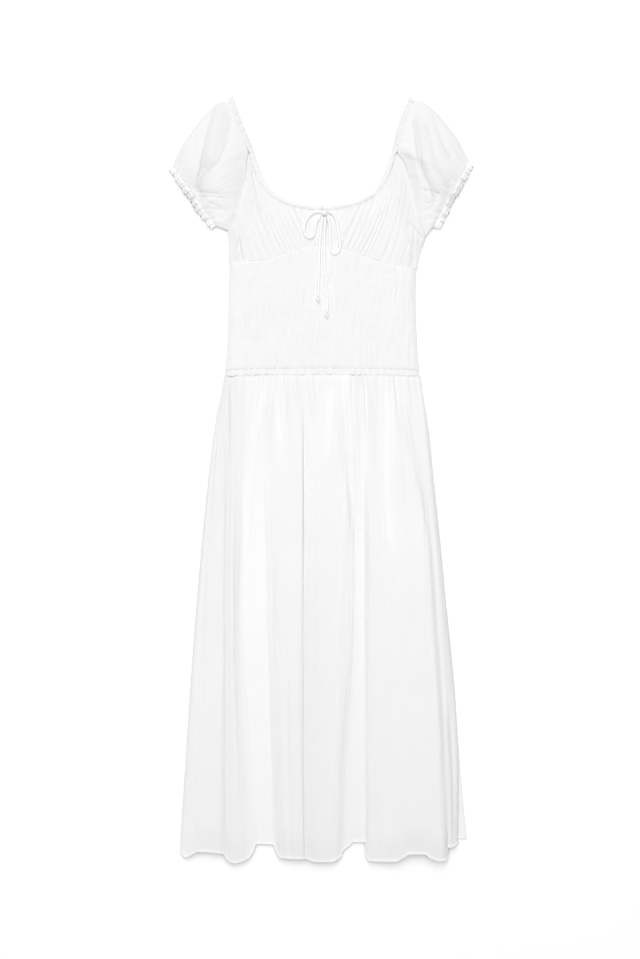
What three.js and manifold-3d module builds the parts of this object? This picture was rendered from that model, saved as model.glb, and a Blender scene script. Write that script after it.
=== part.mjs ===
// A white crinkle-cotton peasant dress, laid flat on its back with its front showing.
// Units are millimetres. +Z is up from the surface it lies on and +Y points to the shoulders.
// A "drop" is a distance down the dress from the shoulder points. A place "across" the dress is
// measured from its centre line, to the right as it is seen, and left and right are as seen too.

import * as THREE from "three";
import { mergeVertices } from "three/addons/utils/BufferGeometryUtils.js";
import Module from "manifold-3d";

// Driving sizes
const LENGTH = 1225; // shoulder points to the lowest point of the hem
const WALL = 1.2; // thickness of the cloth
const SEAM = 0.3; // gap between pieces that are sewn together
const REST = WALL + SEAM; // underside of the front where it lies on the back
const BODICE_LOFT = 4; // how far the middle of the bodice's front stands off its back
const LOFT_RUN = 30; // distance from a side edge over which the loft is reached
const NECK_CASING = 8; // width of the string's tunnel along the bust's part of the neck
const NECK_FRILL = 7; // width of the frilled edge along the sleeve's part of the neck
const NECK_CORNER = 86; // drop at which frill and casing meet
const WAIST = 434; // drop of the waist seam at the centre
const WAIST_SAG = 3; // how much lower the waist seam is at the sides
const WAIST_HALF = 155; // half the width of the waist
const WAIST_FRILL = 12;
const CUFF_FRILL = 10;
const SLEEVE_EDGE = 3.4; // height of a sleeve's folded edge: two layers and a little air
const SLEEVE_PUFF = 24; // how far the top of a sleeve stands above that edge
const UNDERBUST_SIDE = 270; // drop of the underbust seam at the sides
const RAGLAN_LOFT = 4.5; // how far the raglan seam stands off the back
const BUST_LEAN = 0.62; // how near the centre the bust's gathers end, as a share of where they start
const SLIT_HALF = 2.2; // half the slit's width at the neck
const SLIT_END = 0.4; // half its width at the bottom
const SLIT_BOTTOM = 222; // drop of its bottom end
const FRILL_SCALLOP = 0.8; // how far the neck frill's edge draws in between its waves
const GATHER_LENGTH = 0.16; // length of the skirt's gathers as a share of the skirt's
const SLEEVE_INSET = 0.012; // thickness of a sleeve's folded edge as a share of its width
const SKIRT_ROWS = 10;
const SLEEVE_ROWS = 8;
const CASING_STEPS = 20;
const BACK_STEPS = 12;
const LOWER_STEPS = 8; // stretches across a flat layer that nothing shapes
const CORD_SIDES = 8;
const BACK_NECK = 3; // how far the back's neck edge lies behind the front's
const BACK_HEM = 1187; // drop of the back skirt's hem, shorter than the front as it lies
const TIE_DIAMETER = 3.4;

// Counts of gathers and of frill waves
const BUST_GATHERS = 20;
const SHIRRING_ROWS = 11;
const SHIRRING_GATHERS = 30;
const SLEEVE_GATHERS = 10;
const CUFF_WAVES = 14;
const NECK_WAVES = 10;
const WAIST_WAVES = 26;

// Where the forms of the cloth start and end, as shares of the piece they are in
const BUST_SEAM_FADE = 0.65; // the raglan seam's loft ends from here down the bust
const BUST_SEAM_RUN = 0.2;
const BUST_NECK_LOFT = 0.35; // loft left at the neck casing
const BUST_NECK_RUN = 0.3;
const BUST_LOFT_RUN = 0.18; // from a side edge to the full loft
const BUST_GATHER_RUN = 0.05; // from a side edge to the full gathers
const BUST_STRETCHES = 3; // stretches in a gather
const PUFF_HOLLOW = 0.12; // height of the shirring between two puffs
const PUFF_STITCHED = 0.25; // height of a puff on its row of elastic
const PUFF_UNEVEN = 0.25;
const FOLD_START = 0.15; // height of the skirt's folds at the waist
const FOLD_RUN = 0.4;
const GATHER_UNEVEN = 0.45;
const SKIRT_LOFT_RUN = 0.3; // the bodice's loft ends this far down the skirt
const ROW_SPREAD = 1.5; // how much the skirt's rows close up towards the waist
const SLEEVE_ROUND = 0.7; // under 1 for a sleeve that is fuller than a half circle
const SLEEVE_ROOT_RUN = 0.3; // length of the gathers at the neck and raglan seam
const SLEEVE_CUFF_RUN = 0.5; // length of the gathers at the cuff
const CREASE_ROOT_RUN = 0.25; // creases start this far from the seam
const CREASE_CUFF_RUN = 0.2; // and end this far from the cuff
const FRILL_START = 0.3; // height of the waist frill's waves at its seam
const FRILL_STRETCHES = 3; // stretches in a wave
const CUFF_LIFT = 2.5; // height of the cuff frill's edge, in depths of its waves

// Depths of the relief in the cloth
const BUST_DEPTH = 1.1;
const SHIRRING_DEPTH = 1.7;
const SKIRT_GATHER_DEPTH = 2;
const SLEEVE_GATHER_DEPTH = 0.9;
const FRILL_DEPTH = 1.6;

// Neck edge, from the shoulder points to the lowest point at the centre
const NECK = [
  { drop: 0, left: 142, right: 141 },
  { drop: 42, left: 127, right: 124.5 },
  { drop: 86, left: 109, right: 113 },
  { drop: 130, left: 94, right: 97 },
  { drop: 148, left: 81, right: 85 },
  { drop: 159, left: 66, right: 70 },
  { drop: 167, left: 48, right: 50 },
  { drop: 172, left: 24, right: 26 },
];
const NECK_CENTRE = 174;

// Section of the neck casing: shares of its width in from the neck edge, and heights
const CASING_ROWS = [
  { inset: 0, height: 1.3 },
  { inset: 0.45, height: 2.7 },
  { inset: 1, height: 2 },
];

// Raglan seams, from just under the neck to the underarms
const RAGLAN = [
  { left: 119, leftDrop: 106, right: 131, rightDrop: 104 },
  { left: 120.5, leftDrop: 132, right: 138.5, rightDrop: 130 },
  { left: 124.5, leftDrop: 158, right: 143.5, rightDrop: 161 },
  { left: 132, leftDrop: 184, right: 150, rightDrop: 192 },
  { left: 149, leftDrop: 215, right: 165, rightDrop: 225 },
];

// Side edges of the bodice, from the underarms to the waist
const SIDES = [
  { drop: 215, left: 149, right: 167 },
  { drop: 240, left: 148, right: 160.5 },
  { drop: 260, left: 147, right: 154.5 },
  { drop: 280, left: 147, right: 150.5 },
  { drop: 309, left: 148, right: 150 },
  { drop: 357, left: 149, right: 151 },
  { drop: 405, left: 151, right: 153 },
  { drop: 440, left: 154, right: 156 },
];

// Underbust seam, which rises to the centre
const UNDERBUST = [
  { across: -150, drop: 265 },
  { across: -95, drop: 262 },
  { across: -76, drop: 257 },
  { across: -41, drop: 245 },
  { across: 2, drop: 238 },
  { across: 41, drop: 245 },
  { across: 76, drop: 258 },
  { across: 95, drop: 264 },
  { across: 152, drop: 277 },
];

// Folded outer edges of the sleeves, from the shoulder to the cuff elastic
const SLEEVE_OUTER = [
  { left: 151, leftDrop: 10, right: 149.5, rightDrop: 10 },
  { left: 158, leftDrop: 8, right: 156, rightDrop: 7 },
  { left: 182, leftDrop: 26, right: 178, rightDrop: 22 },
  { left: 209, leftDrop: 59, right: 201, rightDrop: 47 },
  { left: 225, leftDrop: 83, right: 218, rightDrop: 70 },
  { left: 236.8, leftDrop: 112, right: 235, rightDrop: 104 },
];
const CUFF_LOWER = { left: 168.8, leftDrop: 208, right: 179, rightDrop: 209 };

// How much of the puff each part of a sleeve has, from the neck and raglan seam to the cuff
const PUFF = [
  { along: 0, share: 0.2 },
  { along: 0.25, share: 0.72 },
  { along: 0.5, share: 1 },
  { along: 0.75, share: 0.8 },
  { along: 1, share: 0.26 },
];

// Creases in the top of the sleeves
const SLEEVE_CREASES = [
  { side: "left", from: 168, fromDrop: 24, to: 197, toDrop: 146, depth: 8, width: 9 },
  { side: "left", from: 149, fromDrop: 30, to: 172, toDrop: 116, depth: 5, width: 8 },
  { side: "left", from: 150, fromDrop: 178, to: 183, toDrop: 176, depth: 4, width: 7 },
  { side: "right", from: 148, fromDrop: 40, to: 171, toDrop: 144, depth: 6, width: 8 },
  { side: "right", from: 175, fromDrop: 26, to: 206, toDrop: 100, depth: 6, width: 9 },
  { side: "right", from: 170, fromDrop: 62, to: 188, toDrop: 132, depth: 4, width: 7 },
  { side: "right", from: 158, fromDrop: 190, to: 188, toDrop: 166, depth: 4, width: 7 },
];

// Folds of the front skirt from its left edge to its right. The first four columns are places
// across at the waist, hip, knee and hem, then come the height of the fold, the drop of the hem
// there, and the number of small gathers up to the next fold.
const SKIRT_DROPS = { waist: WAIST + WAIST_FRILL, hip: 525, knee: 834, hem: 1210 };
const SKIRT_FOLDS = [
  { waist: -154.5, hip: -170, knee: -201, hem: -226, rise: 0.3, drop: 1209, gathers: 0 },
  { waist: -153.5, hip: -164, knee: -193, hem: -215, rise: 7, drop: 1216, gathers: 0 },
  { waist: -152.5, hip: -157, knee: -174, hem: -186, rise: 5, drop: 1207, gathers: 0 },
  { waist: -151.5, hip: -151, knee: -154, hem: -155, rise: 3, drop: 1209, gathers: 1 },
  { waist: -143, hip: -142, knee: -143, hem: -138, rise: 15, drop: 1224, gathers: 1 },
  { waist: -134, hip: -133, knee: -134, hem: -118, rise: 11, drop: 1217, gathers: 1 },
  { waist: -122, hip: -122, knee: -127, hem: -104, rise: 2.5, drop: 1195, gathers: 3 },
  { waist: -88, hip: -94, knee: -88, hem: -77, rise: 2.5, drop: 1195, gathers: 2 },
  { waist: -68, hip: -70, knee: -66, hem: -60, rise: 11, drop: 1217, gathers: 3 },
  { waist: -37, hip: -31, knee: -31, hem: -30, rise: 12, drop: 1217.5, gathers: 0 },
  { waist: -33, hip: -26, knee: -26.5, hem: -25, rise: 6, drop: 1219, gathers: 2 },
  { waist: -10, hip: -2, knee: 0, hem: 2, rise: 14, drop: 1222.5, gathers: 2 },
  { waist: 18, hip: 18, knee: 30, hem: 28, rise: 10, drop: 1217, gathers: 2 },
  { waist: 38, hip: 38, knee: 53, hem: 46, rise: 2.5, drop: 1196, gathers: 2 },
  { waist: 66, hip: 68, knee: 69.5, hem: 70, rise: 2.5, drop: 1192, gathers: 0 },
  { waist: 71, hip: 73, knee: 74.5, hem: 75, rise: 12, drop: 1219, gathers: 2 },
  { waist: 92, hip: 95, knee: 95, hem: 98, rise: 14, drop: 1222, gathers: 2 },
  { waist: 118, hip: 122, knee: 138, hem: 152, rise: 8, drop: 1209.5, gathers: 2 },
  { waist: 142, hip: 148, knee: 170, hem: 188, rise: 13, drop: 1221, gathers: 1 },
  { waist: 151, hip: 162, knee: 181, hem: 199.5, rise: 7, drop: 1218, gathers: 0 },
  { waist: 154.5, hip: 165, knee: 186, hem: 205, rise: 2.5, drop: 1200, gathers: 0 },
  { waist: 158, hip: 169, knee: 198, hem: 217, rise: 0.3, drop: 1195, gathers: 0 },
];

// Side edges of the back skirt, whose corner shows past the front at the right of the hem
const BACK_SKIRT = [
  { drop: WAIST + SEAM, left: 152, right: 154 },
  { drop: 455, left: 153, right: 158 },
  { drop: 500, left: 163, right: 166 },
  { drop: 550, left: 171, right: 174 },
  { drop: 645, left: 181, right: 181 },
  { drop: 740, left: 190, right: 190 },
  { drop: 835, left: 198, right: 202 },
  { drop: 935, left: 206, right: 212 },
  { drop: 1030, left: 213, right: 218 },
  { drop: 1125, left: 219, right: 226 },
  { drop: BACK_HEM, left: 222, right: 232 },
];

// Drawstring, seen from above: places across and drops of its knots and of the routes of its cord
const TIE_HEIGHT = 10.9; // height of the cord's centre where it lies on the bodice
const TIE_KNOT = { across: 4, drop: 186.5, height: 12.2, radii: [6.4, 4.6, 3.2] };
const TIE_ENDS = [
  { name: "tie_end_left", across: -5.2, drop: 325, height: 11.9, radii: [3.2, 4.6, 2.9] },
  { name: "tie_end_right", across: 8.4, drop: 350, height: 11.9, radii: [3.2, 4.6, 2.9] },
];
const TIE_ROUTES = [
  {
    name: "tie_loop_left",
    route: [
      [-3.2, 185.5], [-8.5, 185], [-14.5, 187.5], [-20, 193], [-24.5, 200], [-27.3, 208],
      [-27.8, 216], [-25, 223], [-19, 226.5], [-13, 223.5], [-10.5, 217], [-9.8, 210],
      [-8.5, 203.5], [-5.5, 197.5], [-1.8, 192.8],
    ],
  },
  {
    name: "tie_loop_right",
    route: [
      [11.2, 185.5], [16.5, 187], [20.5, 191.5], [23.3, 198], [25.3, 206], [27, 215],
      [28.4, 224], [29.2, 233], [29.2, 242], [26.5, 249.5], [20.5, 252.3], [15.4, 247.5],
      [14.2, 239], [14, 230], [13.8, 221], [13.4, 212], [12.6, 203.5], [10, 194.6],
    ],
  },
  {
    name: "tie_tail_left",
    route: [
      [1.6, 193.2], [0.6, 200], [-0.4, 208], [-1.4, 217], [-2.2, 226], [-2.7, 235], [-3.1, 244],
      [-3.4, 253], [-3.6, 262], [-3.8, 271], [-4.1, 280], [-4.4, 289], [-4.6, 298], [-4.8, 308],
      [-5, 320],
    ],
  },
  {
    name: "tie_tail_right",
    route: [
      [6, 193.2], [5.8, 201], [5.2, 210], [4.8, 220], [4.6, 230], [4.6, 240], [4.6, 250],
      [4.7, 260], [5, 270], [5.6, 280], [6.4, 290], [7.2, 300], [8, 310], [8.8, 322],
      [9.2, 334], [8.8, 345],
    ],
  },
];

const COTTON = new THREE.MeshStandardMaterial({ color: 0xf4f4f3, roughness: 0.92, metalness: 0 });
const CORD = new THREE.MeshStandardMaterial({ color: 0xf0f0ee, roughness: 0.88, metalness: 0 });

const { lerp, clamp, smoothstep } = THREE.MathUtils;
const { PI, cos, sin, min, max } = Math;
const smooth = (t) => smoothstep(t, 0, 1);
const column = (rows, name) => rows.map((row) => row[name]);
const steps = (count) => Array.from({ length: count + 1 }, (_, i) => i / count);
const point = (across, drop, height) => new THREE.Vector3(across, LENGTH / 2 - drop, height);
const lowered = (place, depth) => new THREE.Vector3(place.x, place.y, place.z - depth);
const raised = (place, height) => new THREE.Vector3(place.x, place.y, height);

// A smooth curve through the rows of a table that never overshoots them: it is level at every
// crest and hollow, and its slope elsewhere is the harmonic mean of the slopes on either side.
function through(keys, values) {
  const last = keys.length - 1;
  const slope = (i) => (values[i + 1] - values[i]) / (keys[i + 1] - keys[i]);
  const tangents = keys.map((_, i) => {
    const before = slope(max(i - 1, 0));
    const after = slope(min(i, last - 1));
    return before * after > 0 ? (2 * before * after) / (before + after) : 0;
  });
  return (key) => {
    const at = clamp(key, keys[0], keys[last]);
    const i = min(keys.findLastIndex((value) => value <= at), last - 1);
    const span = keys[i + 1] - keys[i];
    const t = (at - keys[i]) / span;
    const bend = (tangents[i] * (1 - t) - tangents[i + 1] * t) * span * t * (1 - t);
    return lerp(values[i], values[i + 1], t * t * (3 - 2 * t)) + bend;
  };
}

// The shares of the length of a line of straight stretches at which its corners are
function lengthShares(places) {
  const reach = [0];
  places.slice(1).forEach((place, i) => reach.push(reach[i] + place.distanceTo(places[i])));
  return reach.map((length) => length / reach.at(-1));
}

// The place at a share of the length of such a line
function along(places, share) {
  const shares = lengthShares(places);
  const i = min(shares.findLastIndex((corner) => corner <= share), places.length - 2);
  const t = (share - shares[i]) / (shares[i + 1] - shares[i]);
  return new THREE.Vector3().lerpVectors(places[i], places[i + 1], t);
}

// A patch of cloth between four edges: each pair of opposite edges is blended across the patch,
// and the blend of its four corners is taken off once.
function patch(top, bottom, left, right, u, v) {
  const corners = new THREE.Vector3()
    .addScaledVector(top(0), (1 - u) * (1 - v))
    .addScaledVector(top(1), u * (1 - v))
    .addScaledVector(bottom(0), (1 - u) * v)
    .addScaledVector(bottom(1), u * v);
  return new THREE.Vector3()
    .addScaledVector(top(u), 1 - v)
    .addScaledVector(bottom(u), v)
    .addScaledVector(left(v), 1 - u)
    .addScaledVector(right(v), u)
    .sub(corners);
}

// Adds the triangles between two rows of points, which may differ in number
function strip(triangles, first, second) {
  const m = first.length - 1;
  const n = second.length - 1;
  let i = 0;
  let j = 0;
  while (i < m || j < n) {
    if (j < n && (i === m || j * m <= i * n)) {
      triangles.push(first[i], second[j], second[j + 1]);
      j += 1;
    } else {
      triangles.push(first[i], second[j], first[i + 1]);
      i += 1;
    }
  }
}

// A closed body from its triangles, turned so that its faces point out
function body(triangles) {
  let volume = 0;
  const cross = new THREE.Vector3();
  for (let i = 0; i < triangles.length; i += 3) {
    volume += triangles[i].dot(cross.crossVectors(triangles[i + 1], triangles[i + 2]));
  }
  const facing = volume > 0 ? triangles : triangles.toReversed();
  const geometry = mergeVertices(new THREE.BufferGeometry().setFromPoints(facing), 1e-4);
  geometry.computeVertexNormals();
  return geometry;
}

// A sheet of cloth between an outer and an inner grid of points
function sheet(outer, inner) {
  const triangles = [];
  outer.slice(1).forEach((row, i) => strip(triangles, outer[i], row));
  inner.slice(1).forEach((row, i) => strip(triangles, row, inner[i]));
  strip(triangles, inner[0], outer[0]);
  strip(triangles, outer.at(-1), inner.at(-1));
  strip(triangles, column(outer, 0), column(inner, 0));
  strip(triangles, inner.map((row) => row.at(-1)), outer.map((row) => row.at(-1)));
  return body(triangles);
}

// A sleeve of cloth, open at both ends, between outer and inner rings of points
function sleeveWall(outer, inner) {
  const triangles = [];
  const closed = (ring) => [...ring, ring[0]];
  outer.slice(1).forEach((ring, i) => strip(triangles, closed(outer[i]), closed(ring)));
  inner.slice(1).forEach((ring, i) => strip(triangles, closed(ring), closed(inner[i])));
  strip(triangles, closed(inner[0]), closed(outer[0]));
  strip(triangles, closed(outer.at(-1)), closed(inner.at(-1)));
  return body(triangles);
}

// One body taken out of another
const solids = await Module();
solids.setup();
function subtract(geometry, cutter) {
  const [whole, tool] = [geometry, cutter].map((source) => {
    const bare = source.clone();
    bare.deleteAttribute("normal");
    bare.deleteAttribute("uv");
    const welded = mergeVertices(bare, 1e-4);
    const vertProperties = new Float32Array(welded.attributes.position.array);
    const triVerts = new Uint32Array(welded.index.array);
    return new solids.Manifold(new solids.Mesh({ numProp: 3, vertProperties, triVerts }));
  });
  const cut = whole.subtract(tool).getMesh();
  const result = new THREE.BufferGeometry();
  result.setAttribute("position", new THREE.BufferAttribute(cut.vertProperties, 3));
  result.setIndex(new THREE.BufferAttribute(cut.triVerts, 1));
  result.computeVertexNormals();
  return result;
}

const dress = new THREE.Group();
function add(name, geometry, material = COTTON) {
  const mesh = new THREE.Mesh(geometry, material);
  mesh.name = name;
  dress.add(mesh);
}

// Seam lines that pieces share
const neckLine = new THREE.CatmullRomCurve3([
  ...NECK.map((row) => point(-row.left, row.drop, 0)),
  point(0, NECK_CENTRE, 0),
  ...NECK.toReversed().map((row) => point(row.right, row.drop, 0)),
]);
const leftSide = through(column(SIDES, "drop"), column(SIDES, "left"));
const rightSide = through(column(SIDES, "drop"), column(SIDES, "right"));
const underbust = through(column(UNDERBUST, "across"), column(UNDERBUST, "drop"));
const waistSeam = (across) => WAIST + WAIST_SAG * (across / WAIST_HALF) ** 2;

// A place on the neck edge at a share of its length, moved into the cloth
function neckPlace(share, inset, height = 0) {
  const tangent = neckLine.getTangentAt(share);
  const inward = new THREE.Vector3(tangent.y, -tangent.x, 0);
  return raised(neckLine.getPointAt(share).addScaledVector(inward, inset), height);
}

// The share of the neck's length at which frill and casing meet on the left; the right is alike
const cornerShare = steps(1000).find((share) => {
  return neckLine.getPointAt(share).y < LENGTH / 2 - NECK_CORNER;
});

// Height of the outer side of the bodice's front, which lies on the back at its side edges
function bodiceHeight(across, drop) {
  const edge = min(across + leftSide(drop), rightSide(drop) - across);
  return REST + WALL + BODICE_LOFT * smooth(edge / LOFT_RUN);
}

// Bust panel, between the neck casing, the raglan seams, the sides and the underbust seam.
// Its gathers run from the neck down to the seam and lean towards the centre on the way.
function bustEdge(side, sign, start, edge) {
  const seam = RAGLAN.map((row) => point(sign * row[side], row[`${side}Drop`], 0));
  const reach = sign * edge(UNDERBUST_SIDE);
  const corner = underbust(reach) - SEAM;
  const middle = (RAGLAN.at(-1)[`${side}Drop`] + corner) / 2;
  return [start, ...seam, point(sign * edge(middle), middle, 0), point(reach, corner, 0)];
}
const bustTop = (u) => neckPlace(lerp(cornerShare, 1 - cornerShare, u), NECK_CASING + SEAM);
const bustLeft = bustEdge("left", -1, bustTop(0), leftSide);
const bustRight = bustEdge("right", 1, bustTop(1), rightSide);
const rightShares = lengthShares(bustRight);
const bustRows = lengthShares(bustLeft).map((share, i) => (share + rightShares[i]) / 2);
function bustBottom(u) {
  const out = 2 * u - 1;
  const lean = out * lerp(BUST_LEAN, 1, out * out);
  const across = lerp(bustLeft.at(-1).x, bustRight.at(-1).x, (1 + lean) / 2);
  return point(across, underbust(across) - SEAM, 0);
}
function bustHeight(u, v) {
  const edge = min(u, 1 - u);
  const seamLoft = lerp(RAGLAN_LOFT, 0, smooth((v - BUST_SEAM_FADE) / BUST_SEAM_RUN));
  const neckRise = lerp(BUST_NECK_LOFT, 1, smooth(v / BUST_NECK_RUN));
  const loft = lerp(seamLoft, BODICE_LOFT, smooth(edge / BUST_LOFT_RUN)) * neckRise;
  const gather = 1 - cos(2 * PI * BUST_GATHERS * u);
  return REST + WALL + loft + BUST_DEPTH * gather * smooth(edge / BUST_GATHER_RUN);
}
function bustPlace(u, v) {
  const row = bustRows.indexOf(v);
  return patch(bustTop, bustBottom, () => bustLeft[row], () => bustRight[row], u, v);
}
const bustOuter = bustRows.map((v) => {
  return steps(BUST_STRETCHES * BUST_GATHERS).map((u) => raised(bustPlace(u, v), bustHeight(u, v)));
});
const bustInner = bustOuter.map((row) => row.map((place) => lowered(place, WALL)));
const slit = new THREE.Shape([
  point(-SLIT_HALF, NECK_CENTRE, 0),
  point(-SLIT_END, SLIT_BOTTOM, 0),
  point(SLIT_END, SLIT_BOTTOM, 0),
  point(SLIT_HALF, NECK_CENTRE, 0),
].map((corner) => new THREE.Vector2(corner.x, corner.y)));
const slitCutter = new THREE.ExtrudeGeometry(slit, { depth: SLEEVE_PUFF, bevelEnabled: false });
add("front_bust", subtract(sheet(bustOuter, bustInner), slitCutter));

// Midriff, with rows of elastic thread that draw it up into small puffs between them. The puffs
// are raised in the outer side only, and the inner side is plain.
function midriffPlace(u, v) {
  const reach = (drop) => lerp(-leftSide(drop), rightSide(drop), u);
  const top = underbust(reach(UNDERBUST_SIDE)) + SEAM / 2;
  const bottom = waistSeam(reach(WAIST)) - SEAM / 2;
  const across = reach(lerp(UNDERBUST_SIDE, WAIST, v));
  const drop = lerp(top, bottom, v);
  return point(across, drop, bodiceHeight(across, drop));
}
const midriffOuter = steps(2 * SHIRRING_ROWS).map((v, i) => {
  return steps(2 * SHIRRING_GATHERS).map((u, j) => {
    const place = midriffPlace(u, v);
    const uneven = 1 - PUFF_UNEVEN * (1 - sin(2.3 * j + 1.7 * i));
    const puff = j % 2 ? uneven : PUFF_HOLLOW;
    const edge = smooth(min(u, 1 - u) * SHIRRING_GATHERS);
    const row = i % 2 ? 1 : PUFF_STITCHED;
    return raised(place, place.z + SHIRRING_DEPTH * puff * row * edge);
  });
});
const midriffInner = steps(3).map((v) => {
  return steps(SHIRRING_GATHERS).map((u) => lowered(midriffPlace(u, v), WALL));
});
add("front_midriff", sheet(midriffOuter, midriffInner));

// Front skirt. Each row of the fold table is a crest or a hollow that runs from waist to hem.
const skirtColumns = SKIRT_FOLDS.slice(1).flatMap((_, i) => {
  const count = max(FRILL_STRETCHES * SKIRT_FOLDS[i].gathers, 2);
  return steps(count).slice(i ? 1 : 0).map((t) => i + t);
});
const foldNumbers = SKIRT_FOLDS.map((_, i) => i);
const foldLevels = ["waist", "hip", "knee", "hem"];
const foldDrops = foldLevels.map((level) => SKIRT_DROPS[level]);
function skirtRow(v) {
  const drop = lerp(SKIRT_DROPS.waist, SKIRT_DROPS.hem, v);
  const places = SKIRT_FOLDS.map((row) => {
    return through(foldDrops, foldLevels.map((level) => row[level]))(drop);
  });
  const grown = lerp(FOLD_START, 1, smooth(v / FOLD_RUN));
  const across = through(foldNumbers, places);
  const rise = through(foldNumbers, column(SKIRT_FOLDS, "rise"));
  const hem = through(foldNumbers, column(SKIRT_FOLDS, "drop"));
  return skirtColumns.map((at) => {
    const x = across(at);
    const edge = min(x - places[0], places.at(-1) - x);
    const fold = SKIRT_FOLDS[min(Math.floor(at), SKIRT_FOLDS.length - 2)];
    const length = GATHER_LENGTH * (1 + GATHER_UNEVEN * sin(2.1 * at));
    const gather = (0.5 + 0.5 * cos(2 * PI * fold.gathers * (at % 1))) * (fold.gathers > 0 ? 1 : 0);
    const drawn = SKIRT_GATHER_DEPTH * gather * (1 - smooth(v / length)) * smooth(edge / LOFT_RUN);
    const loft = BODICE_LOFT * smooth(edge / LOFT_RUN) * (1 - smooth(v / SKIRT_LOFT_RUN));
    const top = waistSeam(x) + WAIST_FRILL;
    return point(x, lerp(top, hem(at), v), REST + WALL + loft + grown * rise(at) + drawn);
  });
}
const skirtOuter = steps(SKIRT_ROWS).map((t) => skirtRow(t ** ROW_SPREAD));

// The inner side of the skirt lies square off its outer side across the folds
const skirtInner = skirtOuter.map((row) => {
  return row.map((place, j) => {
    const before = row[max(j - 1, 0)];
    const after = row[min(j + 1, row.length - 1)];
    const slope = new THREE.Vector3(before.z - after.z, 0, after.x - before.x).normalize();
    return place.clone().addScaledVector(slope, -WALL);
  });
});
add("front_skirt", sheet(skirtOuter, skirtInner));

// Back bodice and back skirt, flat on the surface
const backTop = (u) => neckPlace(lerp(cornerShare, 1 - cornerShare, u), BACK_NECK);
const backSides = SIDES.map((row) => min(row.drop, WAIST)).slice(3);
const backEdge = (sign, edge) => backSides.map((drop) => point(sign * edge(drop), drop, 0));
const backLeft = [backTop(0), ...bustLeft.slice(0, -1), ...backEdge(-1, leftSide)];
const backRight = [backTop(1), ...bustRight.slice(0, -1), ...backEdge(1, rightSide)];
const backRows = lengthShares(backLeft);
const backBottom = (u) => new THREE.Vector3().lerpVectors(backLeft.at(-1), backRight.at(-1), u);
const flatSheet = (rows) => {
  return sheet(rows.map((row) => row.map((place) => raised(place, WALL))), rows);
};
const backBodice = backRows.map((v, i) => {
  const edges = [backTop, backBottom, () => backLeft[i], () => backRight[i]];
  return steps(BACK_STEPS).map((u) => patch(...edges, u, v));
});
add("back_bodice", flatSheet(backBodice));

const backSkirt = BACK_SKIRT.map((row) => {
  return steps(LOWER_STEPS).map((u) => point(lerp(-row.left, row.right, u), row.drop, 0));
});
add("back_skirt", flatSheet(backSkirt));

// Waist frill, a narrow strip that stands out of the waist seam over the skirt's gathers
const waistOuter = [0, 1].map((v) => {
  return steps(FRILL_STRETCHES * WAIST_WAVES).map((u) => {
    const across = lerp(-leftSide(WAIST), rightSide(WAIST), u);
    const drop = waistSeam(across) + lerp(SEAM / 2, WAIST_FRILL - SEAM, v);
    const wave = 0.5 + 0.5 * cos(2 * PI * WAIST_WAVES * u);
    const edge = smooth(min(u, 1 - u) * WAIST_WAVES / 2);
    const lift = FRILL_DEPTH * wave * (FRILL_START + v) * edge;
    return point(across, drop, bodiceHeight(across, WAIST) + lift);
  });
});
add("waist_frill", sheet(waistOuter, waistOuter.map((row) => row.map((p) => lowered(p, WALL)))));

// Neck casing: a tunnel for the string, in two halves that stop at the slit
const casingEnd = 0.5 - (SLIT_HALF + SEAM) / neckLine.getLength();
const casingStart = cornerShare + SEAM / neckLine.getLength();
function neckCasing(place) {
  const outer = CASING_ROWS.map((row) => {
    return steps(CASING_STEPS).map((t) => {
      const share = lerp(casingStart, casingEnd, t);
      return place(share, row.inset * NECK_CASING, REST + row.height);
    });
  });
  const inner = [outer[0], outer.at(-1)].map((row) => row.map((at) => raised(at, REST)));
  return sheet(outer, inner);
}
const mirrored = (share, inset, height) => neckPlace(1 - share, inset, height);
add("neck_casing_left", neckCasing(neckPlace));
add("neck_casing_right", neckCasing(mirrored));

// Neck frills, along the sleeves from the casing up to the shoulder points
function neckFrill(place) {
  const outer = [0, 1].map((v) => {
    return steps(FRILL_STRETCHES * NECK_WAVES).map((t) => {
      const share = lerp(0, cornerShare - SEAM / neckLine.getLength(), t);
      const wave = 0.5 + 0.5 * cos(2 * PI * NECK_WAVES * t);
      const height = v ? SLEEVE_EDGE : REST + FRILL_DEPTH * wave;
      return place(share, NECK_FRILL * v + FRILL_SCALLOP * wave * (1 - v), height);
    });
  });
  return sheet(outer, outer.map((row) => row.map((at) => lowered(at, WALL))));
}
add("neck_frill_left", neckFrill(neckPlace));
add("neck_frill_right", neckFrill(mirrored));

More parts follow.
